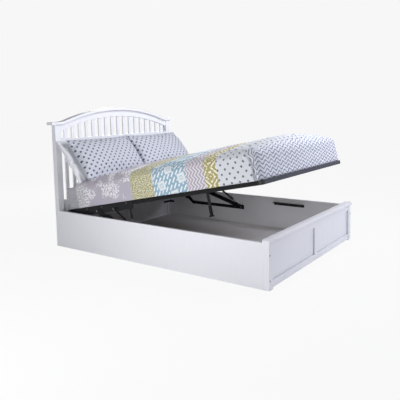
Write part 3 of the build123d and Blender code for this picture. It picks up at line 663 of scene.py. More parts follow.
class Growth(Nodes):
    """A geometry node tree with named inputs and one output."""

    def __init__(self, name: str, **defaults: float) -> None:
        """Start a tree with its input node.

        Args:
            name: The tree's name.
            defaults: Each named input's default, a whole number for a count or else a length.
        """
        super().__init__(bpy.data.node_groups.new(name, "GeometryNodeTree"))
        face = self.tree.interface
        for way in ("INPUT", "OUTPUT"):
            face.new_socket("Geometry", in_out=way, socket_type="NodeSocketGeometry")
        self.sockets = {}
        for label, default in defaults.items():
            kind = "NodeSocketInt" if isinstance(default, int) else "NodeSocketFloat"
            socket = face.new_socket(label, in_out="INPUT", socket_type=kind)
            socket.default_value = default
            self.sockets[label] = socket.identifier
        finish = face.new_socket("Finish", in_out="INPUT", socket_type="NodeSocketMaterial")
        self.sockets["Finish"] = finish.identifier
        self.given = self.add("NodeGroupInput").outputs

    def end(self, geometry: bpy.types.Node) -> "Growth":
        """Realize the instances, set the material and join the result to the output.

        Args:
            geometry: The node with the finished geometry.

        Returns:
            The tree itself.
        """
        real = self.add("GeometryNodeRealizeInstances", {0: geometry})
        shaded = self.add("GeometryNodeSetShadeSmooth", {0: real})
        dressed = self.add("GeometryNodeSetMaterial", {0: shaded, "Material": self.given["Finish"]})
        self.add("NodeGroupOutput", {0: dressed})
        return self

    def grow(self, piece: Piece, **values) -> None:
        """Run the tree on a piece and keep the result as its plain mesh.

        Args:
            piece: The object that carries the starting geometry.
            values: A value for each named input.
        """
        modifier = piece.modifiers.new("grow", "NODES")
        modifier.node_group = self.tree
        for name, value in values.items():
            modifier[self.sockets[name]] = value
        settle(piece)


def piping_tree() -> Growth:
    """Make the tree that sweeps a round cord along the edges of a line.

    Returns:
        The tree.
    """
    made = Growth("piping", Radius=0.002)
    line = made.add("GeometryNodeMeshToCurve", {0: made.given[0]})
    ring = made.add("GeometryNodeCurvePrimitiveCircle", {"Resolution": 6, "Radius": made.given["Radius"]})
    return made.end(made.add("GeometryNodeCurveToMesh", {0: line, 1: ring}))


def stitch_tree() -> Growth:
    """Make the tree that sews small stitches along a line.

    Returns:
        The tree.
    """
    made = Growth("stitches", Pitch=0.006, Length=0.0022, Thread=0.0007)
    line = made.add("GeometryNodeMeshToCurve", {0: made.given[0]})
    points = made.add("GeometryNodeResampleCurve", {0: line, "Length": made.given["Pitch"]}, mode="LENGTH")
    tangent = made.add("GeometryNodeInputTangent")
    turn = made.add("FunctionNodeAlignRotationToVector", {"Vector": tangent}, axis="X")
    bead = made.add("GeometryNodeMeshUVSphere", {"Segments": 5, "Rings": 4, "Radius": 1.0})
    thread = made.given["Thread"]
    size = made.add("ShaderNodeCombineXYZ", {0: made.given["Length"], 1: thread, 2: thread})
    sewn = {0: points, "Instance": bead, "Rotation": turn, "Scale": size}
    return made.end(made.add("GeometryNodeInstanceOnPoints", sewn))


def recess_tree() -> Growth:
    """Make the tree that puts a thin cross-shaped piece on every point, standing for a driver recess; its dark finish
    is painted shade.

    Returns:
        The tree.
    """
    made = Growth("recesses", Width=0.005, Bar=0.0012, Depth=0.0005)
    arms = made.add("GeometryNodeJoinGeometry")
    for along, up in (("Width", "Bar"), ("Bar", "Width")):
        sides = {0: made.given["Depth"], 1: made.given[along], 2: made.given[up]}
        size = made.add("ShaderNodeCombineXYZ", sides)
        made.wire(arms, {0: made.add("GeometryNodeMeshCube", {"Size": size})})
    return made.end(made.add("GeometryNodeInstanceOnPoints", {0: made.given[0], "Instance": arms}))


def slat_tree() -> Growth:
    """Make the tree that lays rows of bowed slats, each swept along a shallow arc.

    Returns:
        The tree.
    """
    made = Growth(
        "bowed_slats", Rows=13, Pitch=0.14, Reach=0.6, Crown=0.006, Width=0.06, Thickness=0.008, Rounding=0.002
    )
    given = made.given
    half = made.add("ShaderNodeMath", {0: given["Reach"], 1: 0.5}, operation="MULTIPLY")
    back = made.add("ShaderNodeMath", {0: half, 1: -1.0}, operation="MULTIPLY")
    twice = made.add("ShaderNodeMath", {0: given["Crown"], 1: 2.0}, operation="MULTIPLY")
    arc = {
        "Resolution": 14,
        "Start": made.add("ShaderNodeCombineXYZ", {0: back}),
        "Middle": made.add("ShaderNodeCombineXYZ", {2: twice}),
        "End": made.add("ShaderNodeCombineXYZ", {0: half}),
    }
    bow = made.add("GeometryNodeCurveQuadraticBezier", arc)
    section = {"Width": given["Width"], "Height": given["Thickness"]}
    plank = made.add("GeometryNodeCurvePrimitiveQuadrilateral", section)
    rounded = made.add("GeometryNodeFilletCurve", {0: plank, "Radius": given["Rounding"], "Count": 2}, mode="POLY")
    swept = made.add("GeometryNodeCurveToMesh", {0: bow, 1: rounded, "Fill Caps": True})
    step = made.add("ShaderNodeCombineXYZ", {1: given["Pitch"]})
    rows = made.add("GeometryNodeMeshLine", {"Count": given["Rows"], "Offset": step})
    return made.end(made.add("GeometryNodeInstanceOnPoints", {0: rows, "Instance": swept}))


@dataclass(frozen=True)
class Cloth:
    """How a cover settles as cloth over what fills it."""

    grow: float
    pressure: float
    frames: int
    reach: float

    def relax(self, piece: Piece, pins: dict[int, float]) -> None:
        """Let a cover settle, then keep each point within reach of its start.

        Args:
            piece: The mesh, whose modifiers are all applied.
            pins: How firmly points are held, by point index.
        """
        start = [v.co.copy() for v in piece.data.vertices]
        group = piece.vertex_groups.new(name="held")
        for index, weight in pins.items():
            group.add([index], weight, "REPLACE")
        cloth = piece.modifiers.new("cloth", "CLOTH")
        for name, value in {
            "quality": 5,
            "mass": 0.3,
            "tension_stiffness": 18.0,
            "compression_stiffness": 18.0,
            "shear_stiffness": 6.0,
            "bending_stiffness": 0.4,
            "air_damping": 3.0,
            "shrink_min": -self.grow,
            "use_pressure": True,
            "uniform_pressure_force": self.pressure,
            "vertex_group_mass": "held",
        }.items():
            setattr(cloth.settings, name, value)
        cloth.settings.effector_weights.gravity = 0.0
        cloth.collision_settings.use_collision = False
        cloth.point_cache.frame_start = 1
        cloth.point_cache.frame_end = self.frames
        for frame in range(1, self.frames + 1):
            bpy.context.scene.frame_set(frame)
        settle(piece)
        for vertex, old in zip(piece.data.vertices, start):
            step = vertex.co - old
            if step.length > self.reach:
                vertex.co = old + step.normalized() * self.reach
        piece.vertex_groups.clear()
        bpy.context.scene.frame_set(1)


# Bedding


@dataclass(frozen=True)
class Mattress:
    """A sprung mattress with a quilted border and corded edges."""

    deck: Deck
    half_width: float = 0.6745
    foot: float = -1.5345
    head: float = 0.3645
    base: float = 0.0305
    top: float = 0.2095
    corner: float = 0.060
    corner_steps: int = 12
    end_steps: int = 36
    side_steps: int = 48
    # The rounded edge with its cord: how far inside the plan, and how far above the base
    edge: tuple = (
        (0.30, 0.003),
        (0.12, 0.0015),
        (0.03, 0.0005),
        (0.012, 0.0),
        (0.006, 0.001),
        (0.0035, 0.0035),
        (0.0008, 0.005),
        (0.0, 0.0075),
        (0.0008, 0.010),
        (0.0042, 0.012),
    )
    border: float = 0.0135
    border_rows: int = 26
    channels: int = 4
    valley: float = 0.0052
    quilting: float = 0.0042

    def outline(self, inset: float) -> list[tuple[float, float]]:
        """The plan of the mattress, drawn in by a distance.

        Args:
            inset: How far inside the edge.

        Returns:
            Points round the plan, anticlockwise from above.
        """
        radius = max(0.004, self.corner - inset)
        w, head, foot = self.half_width - inset - radius, self.head - inset - radius, self.foot + inset + radius
        corners = ((w, head, 0.0), (-w, head, 90.0), (-w, foot, 180.0), (w, foot, 270.0))

        def on_corner(number: int, turn: float) -> tuple[float, float]:
            """The point of one rounded corner at a turn in degrees."""
            x, y, start = corners[number % 4]
            angle = math.radians(start + turn)
            return x + radius * math.cos(angle), y + radius * math.sin(angle)

        found: list[tuple[float, float]] = []
        for number in range(4):
            found += [on_corner(number, 90.0 * step / self.corner_steps) for step in range(self.corner_steps + 1)]
            (x0, y0), (x1, y1) = found[-1], on_corner(number + 1, 0.0)
            steps = self.side_steps if number % 2 else self.end_steps
            found += [(x0 + (x1 - x0) * k / steps, y0 + (y1 - y0) * k / steps) for k in range(1, steps)]
        return found

    def build(self, palette: Palette) -> Piece:
        """Make the mattress from rings round its plan and dress it.

        Args:
            palette: The finishes.

        Returns:
            The finished piece.
        """
        depth = self.top - self.base
        profile = list(self.edge)
        for row in range(self.border_rows + 1):
            share = row / self.border_rows
            puffed = abs(math.sin(math.pi * self.channels * share)) ** 0.5
            height = self.border + (depth - 2 * self.border) * share
            profile.append((self.valley - self.quilting * puffed, height))
        profile += [(inset, depth - height) for inset, height in reversed(self.edge)]
        places = [Vector((x, y, self.base + height)) for inset, height in profile for x, y in self.outline(inset)]
        count = len(places) // len(profile)
        faces: list[tuple] = []
        for first in range(0, len(places) - count, count):
            for n in range(count):
                a, b = first + n, first + (n + 1) % count
                faces.append((a, b, b + count, a + count))
        faces.append(tuple(reversed(range(count))))
        faces.append(tuple(range(len(places) - count, len(places))))
        piece = new_piece("sprung_mattress", places, faces)
        mesh = bmesh.new()
        mesh.from_mesh(piece.data)
        bmesh.ops.triangulate(mesh, faces=[f for f in mesh.faces if len(f.verts) > 4])
        bmesh.ops.recalc_face_normals(mesh, faces=mesh.faces)
        mesh.to_mesh(piece.data)
        mesh.free()
        smooth(piece)
        piece.data.transform(self.deck.matrix())
        palette.dress(piece, "mattress_cover")
        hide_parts("mattress")
        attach(piece, "deck")
        LOG.info("mattress: %d points", len(piece.data.vertices))
        return piece


@dataclass
class Duvet:
    """The printed cover that goes over the mattress and down its sides and foot."""

    mattress: Mattress
    half_width: float = 0.6835
    foot: float = -1.5435
    head: float = 0.200
    hem: float = 0.031
    top: float = 0.2485
    crown: float = 0.049
    crown_half: float = 0.600
    # The top is flat at the pillows' seat and rises to its crown over the slope
    seat: float = 0.0
    slope: float = 0.160
    seat_sink: float = 0.0015
    foot_round: float = 0.110
    rounding: float = 0.064
    side_bulge: float = 0.0045
    wall: float = 0.0055
    spacing: float = 0.0115
    fine_spacing: float = 0.0045
    fine_reach: float = 0.115
    seams: tuple = tuple(sorted(band.head for band in BANDS[1:-1]))
    seam_depth: float = 0.0050
    seam_width: float = 0.011
    puff: float = 0.0045
    swell: float = 0.0040
    fold: float = 0.0032
    wrinkle: float = 0.0021
    sink: float = 0.0034
    fineness: tuple = ((3.4, 2.7, 6.0), (5.0, 8.5, 4.0), (13.0, 17.0, 9.0))
    # The cover is gathered at the foot corners, in a crease that leans towards the head at its top
    crease: float = BANDS[-1].head
    crease_lean: float = 0.045
    lean_reach: float = 0.15
    lean_starts: float = 0.055
    lean_fades: float = 0.16
    crease_depth: float = 0.0040
    crease_side_depth: float = 0.0095
    crease_width: float = 0.0060
    crease_held: float = 0.034
    bulge: float = 0.0070
    bulge_beyond: float = 0.017
    bulge_width: float = 0.012
    fan_depth: float = 0.0036
    fan_folds: float = 15.0
    fan_reach: float = 0.11
    cloth: Cloth = Cloth(grow=0.02, pressure=1.2, frames=16, reach=0.007)
    slack: float = 0.003
    hem_slack: float = 0.0005
    clearance: float = 0.001
    stitch_pitch: float = 0.007
    stitch_offset: float = 0.006
    stitch_lift: float = 0.0004
    seam_lines: list = field(default_factory=list)

    def shaped(self, x: float, station: float, height: float) -> Vector:
        """Round a point of the plain box onto the duvet's soft outline.

        Args:
            x: Across the bed.
            station: Along the deck.
            height: Above the deck's underside.

        Returns:
            The point in deck coordinates.
        """
        r = self.rounding
        side = self.half_width - r
        core = Vector((clamped(x, -side, side), max(self.foot + r, station), min(self.top - r, height)))
        off = Vector((x, station, height)) - core
        point = core + off.normalized() * r if off.length > TINY else core
        across = min(1.0, abs(point.x) / self.crown_half)
        rise = clamped((point.z - (self.top - r)) / r)
        to_seat = clamped((self.seat - station) / self.slope)
        to_foot = clamped((self.foot + self.foot_round - point.y) / self.foot_round)
        full = eased(to_seat) * (1 - to_foot**3)
        point.z += rise * (self.crown * (1 - across**2) * full - self.seat_sink * (1 - to_seat))
        # The sides bulge a little at mid height and tuck in at the hem
        tuck = self.side_bulge * (math.sin(math.pi * self.drop(point.z)) - 1.0) * (1 - rise)
        out = Vector((off.x, off.y, 0.0))
        if out.length > TINY:
            point += out.normalized() * tuck
        return point

    def drop(self, height: float) -> float:
        """How far down the side a height is, from nothing at the top to one at the hem."""
        return clamped((self.top - height) / (self.top - self.hem))

    def lean(self, x: float, height: float) -> float:
        """How far the corner's crease leans towards the head: not in its lower half, most at the top edge."""
        rise = clamped((height - self.hem) / (self.top - self.hem))
        return self.crease_lean * max(0.0, 2 * rise - 1) * eased((abs(x) - self.half_width) / self.lean_reach + 1.0)

    def printed_at(self, x: float, station: float, height: float) -> float:
        """The station of the print that lies at a point, which the leaning crease pulls along near the foot."""
        beyond = station - self.crease - self.lean_starts
        return station - self.lean(x, height) * (1 - eased(beyond / self.lean_fades))

    def cushioned(self, point: Vector, normal: Vector) -> Vector:
        """Add the soft rise and fall of the filling to a point.

        Args:
            point: A point of the outline, in deck coordinates.
            normal: Its outward direction.

        Returns:
            The moved point.
        """
        broad = ripple(point, self.fineness[0])
        folds = 1 - 2 * abs(ripple(point, self.fineness[1], (3.0, 0.0, 0.0)))
        small = 1 - 2 * abs(ripple(point, self.fineness[2], (0.0, 0.0, 7.0)))
        # Folds are deepest at the hem
        low = self.drop(point.z)
        lift = self.swell * broad + self.fold * folds * (0.7 + 1.4 * low) + self.wrinkle * small - self.sink
        # The filling puffs up between two seams and is drawn in at each
        ends = (self.foot, self.crease, *self.seams, self.head)
        begin = max((end for end in ends if end <= point.y + TINY), default=self.foot)
        stop = min((end for end in ends if end > point.y + TINY), default=self.head)
        middle = clamped((point.y - begin) / max(stop - begin, 1e-3))
        lift += self.puff * math.sin(math.pi * middle) ** 0.6
        lift -= self.seam_depth * bell(min(abs(point.y - seam) for seam in self.seams), self.seam_width)
        # A sharp crease at the foot corner, at its full depth a quarter of the way down, with a bulge beside it
        beyond = point.y - self.crease - self.lean(point.x, point.z)
        on_side = min(1.0, 4 * low)
        lift -= (self.crease_depth + self.crease_side_depth * on_side) * bell(beyond, self.crease_width)
        if low > 0.02 and abs(point.x) > self.half_width - self.rounding:
            lift += self.bulge * bell(beyond - self.bulge_beyond, self.bulge_width) * on_side
            # Folds fan out from the top of the crease
            from_crease = Vector((point.y - self.crease - self.crease_lean, point.z - self.top + 0.01))
            fan = math.atan2(from_crease.x, -from_crease.y)
            lift += self.fan_depth * math.sin(fan * self.fan_folds) * math.exp(-from_crease.length / self.fan_reach)
        return point + normal * lift

    def pins(self, points: dict[tuple, int]) -> dict[int, float]:
        """How firmly the cloth is held at its crease, seams and open ends.

        Args:
            points: The number of each point, by its place on the plain box.

        Returns:
            A weight for each point that is held.
        """
        held = {}
        for (x, s, h), number in points.items():
            if abs(s - self.crease - self.lean(x, h)) < self.crease_held:
                held[number] = 0.95
            elif min(abs(s - seam) for seam in self.seams) < NEAR:
                held[number] = 0.8
            elif min(h - self.hem, self.head - s) < NEAR:
                held[number] = 1.0
        return held

    def build(self, palette: Palette) -> Piece:
        """Make the cover, let it settle and dress it.

        Args:
            palette: The finishes.

        Returns:
            The finished piece.
        """
        w, r, top = self.half_width, self.rounding, self.top
        gathered = self.foot + self.fine_reach
        xs = even_steps([-w, -w + r, w - r, w], self.spacing)
        ss = even_steps([self.foot, self.foot + r, gathered], self.fine_spacing)
        ss += even_steps([gathered, *self.seams, self.head], self.spacing)[1:]
        hs = even_steps([self.hem, top - r, top], self.spacing)
        across, along, up = (list(zip(steps, steps[1:])) for steps in (xs, ss, hs))
        points: dict[tuple, int] = {}
        places: list[Vector] = []
        faces: list[tuple] = []
        flat: list[tuple] = []

        def index(x: float, s: float, h: float) -> int:
            """Find the point at a place on the plain box, or make it.

            Args:
                x: Across the bed.
                s: Along the deck.
                h: Above the deck's underside.

            Returns:
                The point's number.
            """
            key = (round(x, 6), round(s, 6), round(h, 6))
            if key not in points:
                points[key] = len(places)
                places.append(self.shaped(x, s, h))
            return points[key]

        def patch(corners: list[tuple], side: int = 0, on_foot: bool = False) -> None:
            """Add one face, and its corners' places on the flat cloth."""
            faces.append(tuple(index(*corner) for corner in corners))
            for x, s, h in corners:
                flat.append((x + side * (top - h), s - (top - h) if on_foot else self.printed_at(x, s, h)))

        for x0, x1 in across:
            for s0, s1 in along:
                patch([(x0, s0, top), (x1, s0, top), (x1, s1, top), (x0, s1, top)])
            for h0, h1 in up:
                s = self.foot
                patch([(x0, s, h0), (x1, s, h0), (x1, s, h1), (x0, s, h1)], on_foot=True)
        for s0, s1 in along:
            for h0, h1 in up:
                for side in (-1, 1):
                    x = side * w
                    patch([(x, s0, h0), (x, s1, h0), (x, s1, h1), (x, s0, h1)][::side], side)
        piece = new_piece("duvet_cover", places, faces)
        lay_flat(piece, flat)
        normals = [v.normal.copy() for v in piece.data.vertices]
        for vertex, normal in zip(piece.data.vertices, normals):
            vertex.co = self.cushioned(vertex.co, normal)
        self.cloth.relax(piece, self.pins(points))
        self.keep_inside(piece)
        for seam in self.seams:
            ring = [piece.data.vertices[n].co.copy() for (x, s, h), n in points.items() if abs(s - seam) < NEAR]
            self.seam_lines.append(sorted(ring, key=self.around))
        shell = piece.modifiers.new("wall", "SOLIDIFY")
        shell.thickness = self.wall
        shell.offset = -1.0
        settle(piece)
        piece.data.transform(self.mattress.deck.matrix())
        smooth(piece)
        palette.dress(piece, "duvet_cotton")
        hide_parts("duvet")
        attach(piece, "deck")
        LOG.info("duvet cover: %d points", len(piece.data.vertices))
        return piece

    def around(self, point: Vector) -> float:
        """How far round the cover's section a point is, from the left hem to the right."""
        return math.atan2(point.x, point.z - self.hem + 0.1)

    def keep_inside(self, piece: Piece) -> None:
        """Hold every point outside the mattress and inside the space the bed leaves for it.

        Args:
            piece: The cover in deck coordinates.
        """
        inner = self.mattress
        side = inner.half_width - inner.corner
        clear = inner.corner + self.wall + self.clearance
        widest = self.half_width + self.slack
        for vertex in piece.data.vertices:
            point = vertex.co
            if point.z < inner.top:
                core = Vector((clamped(point.x, -side, side), max(inner.foot + inner.corner, point.y)))
                out = Vector((point.x, point.y)) - core
                if TINY < out.length < clear:
                    point.x, point.y = core + out.normalized() * clear
            point.x = clamped(point.x, -widest, widest)
            point.y = max(self.foot - self.slack, point.y)
            point.z = max(self.hem - self.hem_slack, point.z)

    def stitches(self, palette: Palette, sewing: Growth) -> Piece:
        """Sew a row of stitches beside each seam.

        Args:
            palette: The finishes.
            sewing: The tree that makes stitches along a line.

        Returns:
            The rows as one piece.
        """
        places: list[Vector] = []
        edges: list[tuple] = []
        for line in self.seam_lines:
            first = len(places)
            for point in line:
                # Outwards is mostly up on the top, and sideways on the sides
                lift = Vector((point.x * 0.3, 0.0, 0.35 if point.z > self.top - 0.02 else 0.0))
                out = lift.normalized() if lift.length > 0 else Vector((0.0, 0.0, 1.0))
                places.append(point + out * self.stitch_lift + Vector((0.0, self.stitch_offset, 0.0)))
            edges += [(n, n + 1) for n in range(first, len(places) - 1)]
        piece = new_piece("duvet_stitches", places, [], edges)
        sewing.grow(piece, Pitch=self.stitch_pitch, Finish=palette.made["plain_cotton"])
        piece.data.transform(self.mattress.deck.matrix())
        palette.dress(piece, "duvet_cotton")
        piece.data.materials[0] = palette.made["plain_cotton"]
        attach(piece, "deck")
        LOG.info("duvet stitches: %d rows", len(self.seam_lines))
        return piece


@dataclass
class Pillow:
    """A filled pillow that leans back from its lower seam."""

    node: str
    slot: str
    middle: float
    seam: tuple
    front: float
    back: float
    seed: float
    crease: float = 0.0
    crease_at: float = 0.52
    crease_slant: float = 0.10
    crease_width: float = 0.035
    droop: float = 0.0
    droop_from: float = 0.72
    round_across: tuple = (2.8, 0.55)
    round_up: tuple = (2.3, 0.70)
    side_draw: float = 0.008
    end_draw: float = 0.062
    half_width: float = 0.3405
    height: float = 0.408
    lean: float = math.radians(40)
    cells: tuple = (66, 42)
    cording: float = 0.0022
    pucker: float = 0.0030
    cloth: Cloth = Cloth(grow=0.045, pressure=2.5, frames=18, reach=0.010)
    held: float = 0.75

    def place(self, a: float, b: float, proud: float) -> Vector:
        """A point of the pillow.

        Args:
            a: Across, from -1 to 1.
            b: Up, from 0 at the lower seam to 1.
            proud: The distance in front of the pillow's middle plane.

        Returns:
            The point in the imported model's frame.
        """
        up = Vector((0.0, math.sin(self.lean), math.cos(self.lean)))
        out = Vector((0.0, -math.cos(self.lean), math.sin(self.lean)))
        c = 2 * b - 1
        # The sides draw in between the corners as the filling rounds them
        x = self.middle + self.half_width * a * (1 - self.side_draw * (1 - c**4))
        tall = 0.5 + 0.5 * c * (1 - self.end_draw * (1 - abs(a) ** 3))
        # One lower corner hangs down
        hang = self.droop * max(0.0, -a - self.droop_from) ** 1.5 * 6.0 * (1 - b) ** 2
        return Vector((x, self.seam[0], self.seam[1] - hang)) + up * (self.height * tall) + out * proud

    def fullness(self, a: float, b: float) -> float:
        """How full the pillow is at a point, from nothing at its seams to one in its middle."""
        (sides, side_power), (ends, end_power) = self.round_across, self.round_up
        return max(0.0, 1 - abs(a) ** sides) ** side_power * max(0.0, 1 - abs(2 * b - 1) ** ends) ** end_power

    def proud(self, a: float, b: float, face: int) -> float:
        """How far a point stands out from the pillow's middle plane.

        Args:
            a: Across, from -1 to 1.
            b: Up, from 0 at the lower seam to 1.
            face: 1 for the front and -1 for the back.

        Returns:
            The distance, with the filling's lumps, the puckers at the seams and the crease in the front.
        """
        full = self.fullness(a, b)
        # The filling has lumps, and pulls puckers into the seams
        lumps = noise.noise(Vector((a * 2.2 + self.seed, b * 2.0, face * 3.0)))
        proud = (self.front if face > 0 else -self.back) * full * (0.96 + 0.08 * lumps)
        rim = math.exp(-full / 0.22) * min(1.0, full / 0.05)
        proud += face * self.pucker * rim * noise.noise(Vector((a * 14.0, b * 9.0, self.seed)))
        if self.crease and face > 0:
            dent = bell(b - self.crease_at - self.crease_slant * a, self.crease_width) * max(0.0, -a) ** 0.5
            proud -= self.crease * dent * full**0.3
        return proud

    def build(self, palette: Palette, cording: Growth) -> Piece:
        """Make the pillow, let its case settle round the filling and dress it.

        Args:
            palette: The finishes.
            cording: The tree that sweeps the edge seam.

        Returns:
            The finished piece.
        """
        across, tall = self.cells
        places: list[Vector] = []
        numbers: dict[tuple, int] = {}
        flat: list[tuple] = []
        faces: list[tuple] = []

        def key(i: int, j: int, face: int) -> tuple[int, int, int]:
            """The name of a point, which both faces share along the seams."""
            return i, j, 0 if i in (0, across) or j in (0, tall) else face

        for face in (1, -1):
            for i in range(across + 1):
                for j in range(tall + 1):
                    if key(i, j, face) in numbers:
                        continue
                    a, b = 2 * i / across - 1, j / tall
                    numbers[key(i, j, face)] = len(places)
                    flat.append((self.half_width * a, self.height * b))
                    places.append(self.place(a, b, self.proud(a, b, face)))
        for face in (1, -1):
            for i in range(across):
                for j in range(tall):
                    ring = [numbers[key(*at, face)] for at in ((i, j), (i + 1, j), (i + 1, j + 1), (i, j + 1))]
                    faces.append(tuple(ring[::face]))
        piece = new_piece(f"{self.node}_case", places, faces)
        lay_flat(piece, [flat[number] for polygon in piece.data.polygons for number in polygon.vertices])
        rim = [(i, 0) for i in range(across)] + [(across, j) for j in range(tall)]
        rim += [(i, tall) for i in range(across, 0, -1)] + [(0, j) for j in range(tall, 0, -1)]
        border = [numbers[(i, j, 0)] for i, j in rim]
        self.cloth.relax(piece, {number: self.held for number in border})
        line = [piece.data.vertices[number].co.copy() for number in border]
        finer = piece.modifiers.new("finer", "SUBSURF")
        finer.levels = finer.render_levels = 1
        settle(piece)
        palette.dress(piece, self.slot)
        self.sew_border(piece, line, palette, cording)
        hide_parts(self.node)
        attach(piece, "deck")
        up = (0.0, math.sin(self.lean), math.cos(self.lean))
        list(self.seam)
        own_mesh(piece)
        LOG.info("%s: %d points", piece.name, len(piece.data.vertices))
        return piece

    def sew_border(self, piece: Piece, line: list[Vector], palette: Palette, cording: Growth) -> None:
        """Add the turned seam round the edge to the pillow's own mesh.

        Args:
            piece: The pillow.
            line: The points of its edge in order.
            palette: The finishes.
            cording: The tree that sweeps a round edge.
        """
        count = len(line)
        seam = new_piece(f"{self.node}_seam", line, [], [(n, (n + 1) % count) for n in range(count)])
        cording.grow(seam, Radius=self.cording, Finish=palette.made[self.slot])
        # The seam's cloth lies between the dots of the print
        layer = seam.data.uv_layers.get("cloth") or seam.data.uv_layers.new(name="cloth")
        for entry in layer.data:
            entry.uv = (0.0, 0.017)
        joined = bmesh.new()
        joined.from_mesh(piece.data)
        joined.from_mesh(seam.data)
        joined.to_mesh(piece.data)
        joined.free()
        bpy.data.objects.remove(seam)
        smooth(piece)


# Frame, deck and lifting gear


@dataclass(frozen=True)
class SprungSlats:
    """Two columns of bowed slats between the deck's rails."""

    deck: Deck
    rows: int = 13
    first: float = -1.452
    last: float = 0.274
    reach: float = 0.6148
    middle: float = 0.3254
    end_height: float = 0.020
    width: float = 0.060
    thickness: float = 0.008

    def build(self, palette: Palette, laying: Growth) -> Piece:
        """Lay both columns and dress them.

        Args:
            palette: The finishes.
            laying: The tree that makes rows of bowed slats.

        Returns:
            The finished piece.
        """
        low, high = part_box("deck_slats")
        columns = bmesh.new()
        for side in (-1, 1):
            column = new_piece("slat_column", [(0.0, 0.0, 0.0)], [])
            laying.grow(
                column,
                Rows=self.rows,
                Pitch=(self.last - self.first) / (self.rows - 1),
                Reach=self.reach,
                Width=self.width,
                Thickness=self.thickness,
                Finish=palette.made["slat_birch"],
            )
            column.data.transform(Matrix.Translation((side * self.middle, self.first, self.end_height)))
            columns.from_mesh(column.data)
            bpy.data.objects.remove(column)
        piece = new_piece("bowed_slats", [], [])
        bmesh.ops.recalc_face_normals(columns, faces=columns.faces)
        columns.to_mesh(piece.data)
        columns.free()
        piece.data.transform(self.deck.matrix())
        palette.dress(piece, "slat_birch")
        for polygon in piece.data.polygons:
            polygon.use_smooth = False
        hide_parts("deck_slats")
        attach(piece, "deck")
        LOG.info("sprung slats: %d points, box %s to %s", len(piece.data.vertices), low[:], high[:])
        return piece


@dataclass(frozen=True)
class Fixings:
    """Thin dark crosses on the heads of the screws inside the box: painted shade that stands for their driver
    recesses.
    """

    rail_face: float = 0.695
    rail_stations: tuple = (0.138, 0.38, 0.622)
    rail_height: float = 0.172
    bracket_face: float = 0.696
    bracket_stations: tuple = (-0.559, -0.333)
    bracket_height: float = 0.248
    head: float = 0.0016

    def build(self, palette: Palette, cutting: Growth) -> Piece:
        """Put a thin dark cross, painted shade for its driver recess, on each screw of the base rails and rest
        brackets.

        Args:
            palette: The finishes.
            cutting: The tree that makes the cross-shaped pieces for the recesses.

        Returns:
            The recesses as one piece.
        """
        points = []
        for side in (-1, 1):
            points += [(side * (self.rail_face - self.head), y, self.rail_height) for y in self.rail_stations]
            points += [(side * (self.bracket_face - self.head), y, self.bracket_height) for y in self.bracket_stations]
        piece = new_piece("screw_recess_shade", points, [])
        cutting.grow(piece, Finish=palette.made["black_plastic"])
        palette.dress(piece, "zinc_steel")
        # Black plastic is painted shade here: it stands for the hollow of each recess in the zinc screw heads, not a
        # plastic part
        piece.data.materials[0] = palette.made["black_plastic"]
        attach(piece, "base")
        LOG.info("screw recesses: %d", len(points))
        return piece


class Frame:
    """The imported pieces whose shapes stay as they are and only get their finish."""

    def __init__(self, loaded: dict) -> None:
        """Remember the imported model.
        """
        self.nodes = loaded["nodes"]
        self.slots = {s["node"]: s["material_slot"] for s in loaded["record"]["subparts"]}

    def build(self, palette: Palette) -> None:
        """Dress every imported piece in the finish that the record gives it.

        Args:
            palette: The finishes.
        """
        for name, node in self.nodes.items():
            material = palette.made[self.slots[name]]
            if node.material_slots:
                for slot in node.material_slots:
                    slot.material = material
            else:
                node.data.materials.append(material)
        LOG.info("dressed %d packed pieces", len(self.nodes))


# Studio


@dataclass(frozen=True)
class Lamp:
    """A round soft lamp: where it stands, where it points, its width, watts and colour."""

    name: str
    place: tuple
    aim: tuple
    size: float
    power: float
    colour: str

    def build(self) -> None:
        """Hang the lamp, which the camera doesn't see."""
        data = bpy.data.lights.new(self.name, "AREA")
        data.shape = "DISK"
        data.size = self.size
        data.energy = self.power
        data.color = linear(self.colour)[:3]
        lamp = bpy.data.objects.new(self.name, data)
        lamp.location = self.place
        lamp.rotation_euler = (Vector(self.aim) - Vector(self.place)).to_track_quat("-Z", "Y").to_euler()
        lamp.visible_camera = False
        bpy.context.scene.collection.objects.link(lamp)


LAMPS = (
    Lamp("side", (-2.7, -0.36, 0.85), (0.0, -0.3, 0.25), 1.0, 27.0, "ffffff"),
    Lamp("head", (0.5, -0.8, 2.5), (0.0, 1.0, 0.95), 1.2, 38.0, "fcfdff"),
    Lamp("foot", (1.4, -3.2, 2.4), (0.1, -0.6, 0.1), 1.3, 65.0, "f2f3ff"),
    Lamp("rear", (2.4, 3.4, 1.6), (0.3, 0.8, 0.4), 1.6, 52.0, "ffffff"),
)


